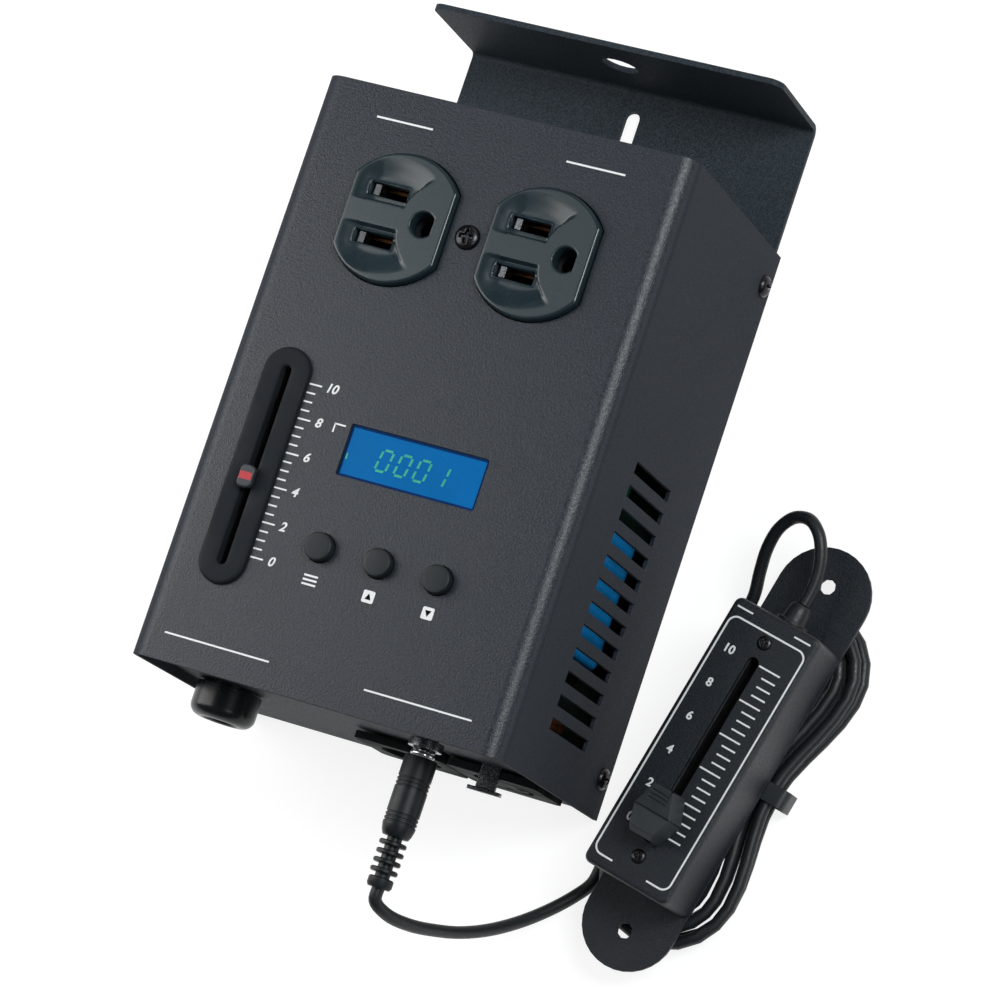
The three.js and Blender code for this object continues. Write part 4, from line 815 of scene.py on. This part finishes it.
def ribbon(points, width):
    """Quads that follow a line of points."""
    quads = []
    edges = []
    for i, p in enumerate(points):
        before = Vector(points[max(i - 1, 0)])
        after = Vector(points[min(i + 1, len(points) - 1)])
        along = (after - before).normalized() * (width / 2)
        edges.append(((p[0] + along.y, p[1] - along.x), (p[0] - along.y, p[1] + along.x)))
    for (a, b), (c, d) in zip(edges, edges[1:]):
        quads.append([a, c, d, b])
    return quads


def rounded_box(x, y, length, width, radius, steps=3):
    points = []
    for side_x, side_y, start in ((1, 1, 0), (-1, 1, 90), (-1, -1, 180), (1, -1, 270)):
        middle_x = x + side_x * (length / 2 - radius)
        middle_y = y + side_y * (width / 2 - radius)
        points += arc(middle_x, middle_y, radius, start, start + 90, steps)
    return points


def number(name, text, spot, scale, body, turn=None):
    curve = bpy.data.curves.new(name, "FONT")
    curve.body = text
    curve.size = scale["size"] * MM
    curve.shear = scale["shear"]
    curve.bevel_depth = scale["bold"] * MM
    curve.bevel_resolution = 0
    curve.align_x = "CENTER"
    curve.align_y = "CENTER"
    obj = new_object(name, curve)
    graph = bpy.context.evaluated_depsgraph_get()
    mesh = bpy.data.meshes.new_from_object(obj.evaluated_get(graph))
    bpy.data.objects.remove(obj)
    mesh.transform(Matrix.Diagonal((1, 1, NUMBER_FLATNESS, 1)))
    mesh.transform(in_metres((turn or Matrix.Identity(4)) @ Matrix.Translation(spot)))
    mesh.name = name
    place(name, mesh, "white", body)


def scale_marks(scale):
    """A row of short lines up a scale, every fourth one long."""
    marks = []
    for k in range(SCALE_STEPS + 1):
        y = scale["low"] + scale["length"] * k / SCALE_STEPS
        start, end = scale["short"] if k % 4 else scale["long"]
        marks.append(bar(start, y, end, y, scale["width"]))
    return marks


def scale_numbers(prefix, scale, height, body, turn=None):
    for k, text in enumerate(SCALE_NUMBERS):
        y = scale["low"] + scale["length"] * k / (len(SCALE_NUMBERS) - 1)
        x = scale["ten_x"] if text == "10" else scale["number_x"]
        number(f"{prefix}_number_{text}", text, (x, y, height), scale, body, turn)


def print_case():
    lines = [bar(*line) for line in CASE_LINES]
    lines += scale_marks(CASE_SCALE)
    lines += [bar(*line) for line in CORNER_LINES]
    flat_shape("case_marks", lines, PRINT, "white", "pack")
    scale_numbers("case", CASE_SCALE, PRINT, "pack")


def arrow(x, way):
    foot = ICON_Y - way * ARROW["foot"]
    half = way * ARROW["half"]
    return [(x - half, foot), (x + half, foot), (x, ICON_Y + way * ARROW["tip"])]


def print_icons():
    squares = [rounded_box(KEYS[key], ICON_Y, ICON_SIZE, ICON_SIZE, ICON_CORNER, 4) for key in ("up", "down")]
    flat_shape("key_squares", squares, PRINT, "white", "pack")
    arrows = [arrow(KEYS["up"], 1), arrow(KEYS["down"], -1)]
    flat_shape("key_arrows", arrows, PRINT + ICON_LIFT, "hole", "pack")
    left, right = KEYS["menu"] - MENU_ROW["half"], KEYS["menu"] + MENU_ROW["half"]
    heights = [ICON_Y + MENU_ROW["step"] * k for k in (1, 0, -1)]
    rows = [bar(left, y, right, y, MENU_ROW["width"]) for y in heights]
    flat_shape("menu_marks", rows, PRINT, "white", "pack")


def print_remote():
    top = REMOTE_TOP + INK
    border = [BORDER_ENDS[0]]
    for x, y, start in BORDER_CORNERS:
        border += arc(x, y, BORDER_RADIUS, start, start - 90, 8)
    border.append(BORDER_ENDS[1])
    marks = ribbon(border, BORDER_WIDTH) + [bar(*line) for line in REMOTE_LINES] + scale_marks(REMOTE_SCALE)
    flat_shape("remote_marks", marks, top, "white", "remote", remote_matrix)
    scale_numbers("remote", REMOTE_SCALE, top, "remote", remote_matrix)


# Screen digits: slanted seven-segment figures

def figure(text, x, y):
    width, height = DIGIT_SIZE
    half = height / 2
    lines = {
        "a": (0, height, width, height), "b": (width, height, width, half), "c": (width, half, width, 0),
        "d": (0, 0, width, 0), "e": (0, half, 0, 0), "f": (0, height, 0, half),
    }
    found = []
    for letter in SEGMENTS[text]:
        x0, y0, x1, y1 = lines[letter]
        gap = Vector((x1 - x0, y1 - y0)).normalized() * (DIGIT_LINE * DIGIT_GAP)
        segment = bar(x0 + gap.x, y0 + gap.y, x1 - gap.x, y1 - gap.y, DIGIT_LINE)
        found.append([(x + px + py * DIGIT_SLANT, y + py) for px, py in segment])
    return found


def make_screen():
    cx, cy, width, height = SCREEN
    refined("display_window", 0.15, "window", "pack", "blue_glass")
    shapes = []
    for k, text in enumerate(DIGITS):
        shapes += figure(text, cx + DIGIT_START[0] + k * DIGIT_STEP, cy + DIGIT_START[1])
    flat_shape("screen_figures", shapes, SCREEN_TOP + INK, "digits", "pack")
    x = cx - width / 2 + LIT_MARK["inset"]
    glow = [bar(x, cy + LIT_MARK["low"], x, cy + LIT_MARK["high"], LIT_MARK["width"])]
    flat_shape("screen_lamp", glow, SCREEN_TOP + INK, "digits", "pack")
    # dark strips round the window's edges: painted shade of the recess, not a part of the display
    right, top = width / 2 - RIM / 2, height / 2 - RIM / 2
    edges = [bar(cx - right, cy + side * top, cx + right, cy + side * top, RIM) for side in (-1, 1)]
    edges += [bar(cx + side * right, cy - top, cx + side * right, cy + top, RIM) for side in (-1, 1)]
    for k, edge in enumerate(edges):
        flat_shape(f"screen_edge_shade_{k + 1}", [edge], SCREEN_TOP + RIM_LIFT + RIM_STEP * k, "rim", "pack")


# Outlet face: a moulded relief with pockets round the blade slots

def pad_outline(steps=40):
    angle = math.acos(PAD_FLAT / PAD_RADIUS)
    points = []
    for start, end in ((angle, math.pi - angle), (math.pi + angle, 2 * math.pi - angle)):
        for k in range(steps + 1):
            turn = start + (end - start) * k / steps
            points.append((PAD_RADIUS * math.cos(turn), PAD_RADIUS * math.sin(turn)))
    return points


def slot_outline(side):
    x, y, length, width = BLADES
    return rounded_box(x, side * y, length, width, SLOT_CORNER)


def ground_outline(steps=28):
    x, radius, flat = GROUND
    start = math.acos(flat / radius)
    turns = [start + (2 * math.pi - 2 * start) * k / steps for k in range(steps + 1)]
    return [(x + radius * math.cos(turn), radius * math.sin(turn)) for turn in turns]


def ease(value):
    value = max(0.0, min(1.0, value))
    return value * value * (3 - 2 * value)


def slot_gap(u, v, side):
    """How far a point lies outside a slot, less than nothing inside it."""
    x, y, length, width = BLADES
    du = abs(u - x) - length / 2
    dv = abs(v - side * y) - width / 2
    return math.hypot(max(du, 0), max(dv, 0)) + min(max(du, dv), 0)


def rounding(gap, radius):
    if gap >= radius:
        return 0.0
    inside = radius - max(gap, 0)
    return radius - math.sqrt(max(radius * radius - inside * inside, 0))


def pocket(u, w):
    """Depth of the pocket at a point, with w counted from the web between the two pockets."""
    wall_x = WALL["x"] + WALL["curve"] * (w - WALL["middle"]) ** 2
    wall_slope = WALL["slope"] + max(w - WALL["wide_from"], 0) * WALL["widening"]
    wall = ease((wall_x - u) / wall_slope)
    web = ease((w - WEB_HALF) / WEB_SLOPE)
    reach = math.hypot((u + DISH["shift"]) * DISH["squeeze"], w)
    dish = ease((PAD_RADIUS - DISH["inset"] - reach) / DISH["slope"])
    left = ease((u + PAD_FLAT - LEFT_SLOPE[0]) / LEFT_SLOPE[1])
    return POCKET_DEPTH * web * wall * dish * left


def relief(u, v):
    """How far the face lies below its top, in millimetres."""
    gap = slot_gap(u, v, 1 if v > 0 else -1)
    edge = min(PAD_RADIUS - math.hypot(u, v), PAD_FLAT - abs(u))
    lip = LIP_HEIGHT * ease(1 - gap / LIP_WIDTH)
    depth = max(pocket(u, abs(v)) - lip, 0.0) + rounding(edge, PAD_EDGE) + rounding(gap, SLOT_EDGE)
    x, radius, flat = GROUND
    if u < x + flat:
        depth += rounding(math.hypot(u - x, v) - radius, GROUND_EDGE)
    return depth


def is_solid(u, v, edge=0.0, clear=0.0):
    """Whether a point is on the pad, clear of its edge and its three holes."""
    in_pad = math.hypot(u, v) < PAD_RADIUS - edge and abs(u) < PAD_FLAT - edge
    in_slot = min(slot_gap(u, v, 1), slot_gap(u, v, -1)) < clear
    x, radius, flat = GROUND
    in_ground = math.hypot(u - x, v) < radius + clear and u < x + flat + clear
    return in_pad and not in_slot and not in_ground


def inner_points():
    """A staggered grid over the pad and rings close to its edge."""
    points = []
    count = int(PAD_RADIUS / GRID)
    for i in range(-count, count + 1):
        for k in range(-count, count + 1):
            u, v = (i + (0.5 if k % 2 else 0)) * GRID, k * GRID
            if is_solid(u, v, EDGE_CLEAR, HOLE_CLEAR):
                points.append(Vector((u, v)))
    for inset in EDGE_RINGS:
        for u, v in pad_outline(56):
            share = 1 - inset / math.hypot(u, v)
            points.append(Vector((u * share, v * share)))
    return points


def pad_surface(centre):
    points = []
    edges = []
    for loop in (pad_outline(), slot_outline(1), slot_outline(-1), ground_outline()):
        start = len(points)
        points += [Vector(p) for p in loop]
        edges += [(start + k, start + (k + 1) % len(loop)) for k in range(len(loop))]
    points += inner_points()
    verts, _, faces, _, _, _ = delaunay_2d_cdt(points, edges, [], 0, 1e-5)
    kept = []
    for face in faces:
        middle = sum((verts[i] for i in face), Vector((0, 0))) / len(face)
        if is_solid(middle.x, middle.y):
            kept.append(tuple(face))
    used = sorted({i for face in kept for i in face})
    order = {old: new for new, old in enumerate(used)}
    placed = []
    for i in used:
        u, v = verts[i]
        placed.append((u + centre[0], v + centre[1], PAD_TOP - relief(u, v)))
    return placed, [tuple(order[i] for i in face) for face in kept]


def make_outlet():
    work = bmesh.new()
    for centre in OUTLETS:
        points, faces = pad_surface(centre)
        corners = [work.verts.new(Vector(p) * MM) for p in points]
        for face in faces:
            work.faces.new([corners[i] for i in face])
    rim = [edge for edge in work.edges if len(edge.link_faces) == 1]
    walls = bmesh.ops.extrude_edge_only(work, edges=rim)
    for item in walls["geom"]:
        if isinstance(item, bmesh.types.BMVert):
            item.co.z = (INNER_FACE - PAD_SINK) * MM
    mesh = bpy.data.meshes.new("outlet_relief")
    work.to_mesh(mesh)
    work.free()
    smooth(mesh, 48)
    place("outlet_relief", mesh, "outlet", "pack", "outlet_face", slot="black_plastic")


def make_springs():
    """The bent contact springs seen in the slots."""
    points = []
    faces = []
    for cx, cy in OUTLETS:
        for side in (1, -1):
            x = cx + BLADES[0] - BLADES[2] / 2
            y = cy + side * BLADES[1]
            start = len(points)
            for along, height in SPRING:
                points += [(x + along, y - SPRING_HALF, height), (x + along, y + SPRING_HALF, height)]
            faces += [(start + k, start + k + 1, start + k + 3, start + k + 2) for k in (0, 2, 4)]
    mesh = smooth(mesh_of("contact_springs", points, faces), 60)
    obj = place("contact_springs", mesh, "nickel", "pack")
    obj.modifiers.new("leaf", "SOLIDIFY").thickness = SPRING_THICK * MM


# Screws with crossed recesses

def recess_depth(x, y, arm):
    """Share of the recess's depth at a point of the head."""
    near = min(abs(x), abs(y))
    far = max(abs(x), abs(y))
    side = ease((arm * RECESS_HALF - near) / (arm * RECESS_WALL) + 0.5)
    return side * ease((arm - far) / (arm * RECESS_END))


def cross_head(radius, height, steps=72, rings=18):
    """A domed head about +Z with a crossed recess."""
    recess = height * RECESS_DEPTH
    arm = radius * RECESS_ARM
    circle = unit_circle(steps)
    points = [(0, 0, height - recess)]
    faces = [(0, 1 + k, 1 + (k + 1) % steps) for k in range(steps)]
    for i in range(1, rings + 1):
        r = radius * (i / rings)
        dome = height * math.sqrt(max(1 - (r / radius) ** DOME_POWER, 0))
        points += [(r * c, r * s, dome - recess * recess_depth(r * c, r * s, arm)) for c, s in circle]
    points += [(radius * c, radius * s, -HEAD_SINK) for c, s in circle]
    for i in range(rings):
        for k in range(steps):
            a = 1 + i * steps
            n = (k + 1) % steps
            faces.append((a + k, a + steps + k, a + steps + n, a + n))
    faces.append(tuple(1 + rings * steps + k for k in reversed(range(steps))))
    return points, faces


def screw(name, spot, size, body, node):
    points, faces = cross_head(*size)
    mesh = smooth(mesh_of(name, points, faces, spot), 60)
    place(name, mesh, "screw", body, node, slot="black_metal")


def make_screws():
    screw("outlet_screw_head", at(0, OUTLETS[0][1], FACE), OUTLET_HEAD, "pack", "outlet_screw")
    for k, (side, y) in enumerate(SIDE_SCREWS, 1):
        spot = at(side * HALF_WIDTH, y, SIDE_SCREW_Z, Matrix.Rotation(math.radians(90 * side), 4, "Y"))
        screw(f"side_screw_head_{k}", spot, SIDE_HEAD, "pack", f"cover_screw_{k}")
    for k, side in enumerate((-1, 1), 1):
        spot = remote_matrix @ at(0, side * SCREW_OFF, REMOTE_TOP)
        screw(f"remote_screw_head_{k}", spot, REMOTE_HEAD, "remote", f"remote_screw_{k}")


# Faders, keys and the remote's bushing

def stadium_loft(x, y, straight, profile, steps=20):
    """Rings of a stadium outline from (radius, height) pairs, closed back to the first."""
    points = []
    faces = []
    count = 2 * (steps + 1)
    for radius, height in profile:
        for side, start in ((1, 0), (-1, math.pi)):
            for k in range(steps + 1):
                angle = math.pi * k / steps + start
                turn_x, turn_y = radius * math.cos(angle), radius * math.sin(angle)
                points.append((x + turn_x, y + side * straight + turn_y, height))
    rings = len(profile)
    for i in range(rings):
        a = i * count
        b = ((i + 1) % rings) * count
        for k in range(count):
            n = (k + 1) % count
            faces.append((a + k, a + n, b + n, b + k))
    return points, faces


def make_fader():
    x, y = FADER
    profile = raised([*BEZEL_SIDE, *arc(*BEZEL_ARC), *BEZEL_THROAT], FACE)
    points, faces = stadium_loft(x, y, FADER_STRAIGHT, profile)
    mesh = smooth(mesh_of("fader_surround", points, faces), 40)
    place("fader_surround", mesh, "bezel", "pack", "fader_bezel", slot="black_plastic")
    refined("fader_lever", 0.25, "knob", "fader", "gloss_plastic")
    half_x, half_y = STRIPE_HALF
    low, high = y + FADER_REST - half_y, y + FADER_REST + half_y
    stripe = [(x - half_x, low), (x + half_x, low), (x + half_x, high), (x - half_x, high)]
    flat_shape("fader_stripe", [stripe], CAP_TOP + INK, "red", "fader")


def make_keys():
    profile = raised([*KEY_STEM, *arc(*KEY_ARC), *KEY_CROWN], FACE)
    for key, x in KEYS.items():
        name = f"{key}_key"
        turned(name, profile, at(x, KEY_Y, 0), "key", name, f"{key}_button", slot="black_plastic")


def make_bushing():
    spot = remote_matrix @ at(0, BUSHING[0], BUSHING[1], TOP_OUT)
    turned("remote_grommet", GROMMET_PROFILE, spot, "cord", "remote", "remote_bushing", slot="rubber")


# Bottom end: gland and the pins of the data socket

def make_gland():
    profile = [*GLAND_FOOT, *arc(*GLAND_ARC), *GLAND_MOUTH]
    spot = at(GLAND[0], END_FACE, GLAND[1], END_OUT)
    turned("gland_collar", profile, spot, "gloss", "pack", "cord_gland", slot="gloss_plastic", steps=56)


def make_pins():
    points = []
    faces = []
    x, y, z = DATA_IN
    for dx, dz in DATA_PINS:
        shape, quads = lathe(DATA_PIN, 20)
        start = len(points)
        spot = at(x + dx, y, z + dz, END_OUT)
        points += [tuple(spot @ Vector(p)) for p in shape]
        faces += [tuple(start + i for i in face) for face in quads]
    place("data_in_pins", smooth(mesh_of("data_in_pins", points, faces), 40), "nickel", "pack")


# Carried-over parts: softened copies where they show, finishes for the rest

def dress_frame():
    row_places = (OUTLETS[0][1], SCREEN[1], KEY_Y, *(y for _, y in SIDE_SCREWS[:2]))
    rows = [((0, y, 0), (0, 1, 0)) for y in row_places]
    columns = [((x, 0, 0), (1, 0, 0)) for x in (FADER[0], OUTLETS[0][0], OUTLETS[1][0])]
    levels = [((0, 0, z), (0, 0, 1)) for z in (VENT_MIDDLE, SIDE_SCREW_Z)]
    refined("cover", 0.28, "powder", "pack", "powder_coat", lines=rows + columns + levels)
    for piece in SOFT_PIECES:
        refined(*piece)
    for look, nodes in PLAIN_PIECES.items():
        for node in nodes:
            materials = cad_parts[node].data.materials
            materials.clear()
            materials.append(LOOKS[look])


# Stage: pale floor, world and lamps

def wire(tree, *pairs):
    for start, end in pairs:
        tree.links.new(start, end)


def make_floor():
    half = FLOOR_HALF
    corners = [(-half, -half), (half, -half), (half, half), (-half, half)]
    mesh = bpy.data.meshes.new("floor")
    mesh.from_pydata([(x, y, -FLOOR_DROP) for x, y in corners], [], [(0, 1, 2, 3)])
    mesh.materials.append(pale_floor())
    new_object("floor", mesh)


def pale_floor():
    """Pale and shadowed where it lights the object, white as the ground of the picture."""
    material = bpy.data.materials.new("pale_floor")
    material.use_nodes = True
    tree = material.node_tree
    shader = tree.nodes["Principled BSDF"]
    shader.inputs["Base Color"].default_value = (FLOOR_TONE, FLOOR_TONE, FLOOR_TONE, 1)
    shader.inputs["Roughness"].default_value = FLOOR_ROUGHNESS
    shader.inputs["Specular IOR Level"].default_value = FLOOR_SHINE
    glow = add_node(tree, "ShaderNodeEmission", Color=WHITE, Strength=FLOOR_GLOW)
    add = add_node(tree, "ShaderNodeAddShader")
    rays = add_node(tree, "ShaderNodeLightPath")
    seen = add_node(tree, "ShaderNodeMath", operation="MAXIMUM")
    seen_or_through = add_node(tree, "ShaderNodeMath", operation="MAXIMUM")
    mix = add_node(tree, "ShaderNodeMixShader")
    wire(
        tree,
        (rays.outputs["Is Camera Ray"], seen.inputs[0]),
        (rays.outputs["Is Glossy Ray"], seen.inputs[1]),
        (seen.outputs[0], seen_or_through.inputs[0]),
        (rays.outputs["Is Transmission Ray"], seen_or_through.inputs[1]),
        (shader.outputs[0], add.inputs[0]),
        (glow.outputs[0], add.inputs[1]),
        (seen_or_through.outputs[0], mix.inputs[0]),
        (shader.outputs[0], mix.inputs[1]),
        (add.outputs[0], mix.inputs[2]),
        (mix.outputs[0], tree.nodes["Material Output"].inputs["Surface"]),
    )
    return material


def make_world():
    world = bpy.data.worlds.new("studio")
    bpy.context.scene.world = world
    world.use_nodes = True
    tree = world.node_tree
    tree.nodes.clear()
    rays = add_node(tree, "ShaderNodeLightPath")
    plain = add_node(tree, "ShaderNodeBackground", Color=(*WORLD_COLOUR, 1), Strength=WORLD_LIGHT)
    white = add_node(tree, "ShaderNodeBackground", Color=WHITE, Strength=1.0)
    mix = add_node(tree, "ShaderNodeMixShader")
    out = add_node(tree, "ShaderNodeOutputWorld")
    wire(
        tree,
        (rays.outputs["Is Camera Ray"], mix.inputs[0]),
        (plain.outputs[0], mix.inputs[1]),
        (white.outputs[0], mix.inputs[2]),
        (mix.outputs[0], out.inputs["Surface"]),
    )


def lamp(name, place_mm, target_mm, size, power, colour):
    data = bpy.data.lights.new(name, "AREA")
    data.shape = "RECTANGLE"
    data.size, data.size_y = size
    data.energy = power
    data.color = colour
    obj = new_object(name, data)
    start = Vector(place_mm) * MM
    obj.location = start
    obj.rotation_mode = "QUATERNION"
    obj.rotation_quaternion = (Vector(target_mm) * MM - start).to_track_quat("-Z", "Y")


def make_lights():
    for name, values in LAMPS.items():
        lamp(name, *values)


print_case()
print_icons()
print_remote()
make_screen()
make_outlet()
make_springs()
make_screws()
make_fader()
make_keys()
refined("remote_knob", 0.22, "knob", "remote_slider", "black_plastic", 3, 20)
make_bushing()
make_gland()
make_pins()
dress_frame()
make_floor()
make_world()
make_lights()

bpy.context.scene.view_settings.view_transform = "Standard"
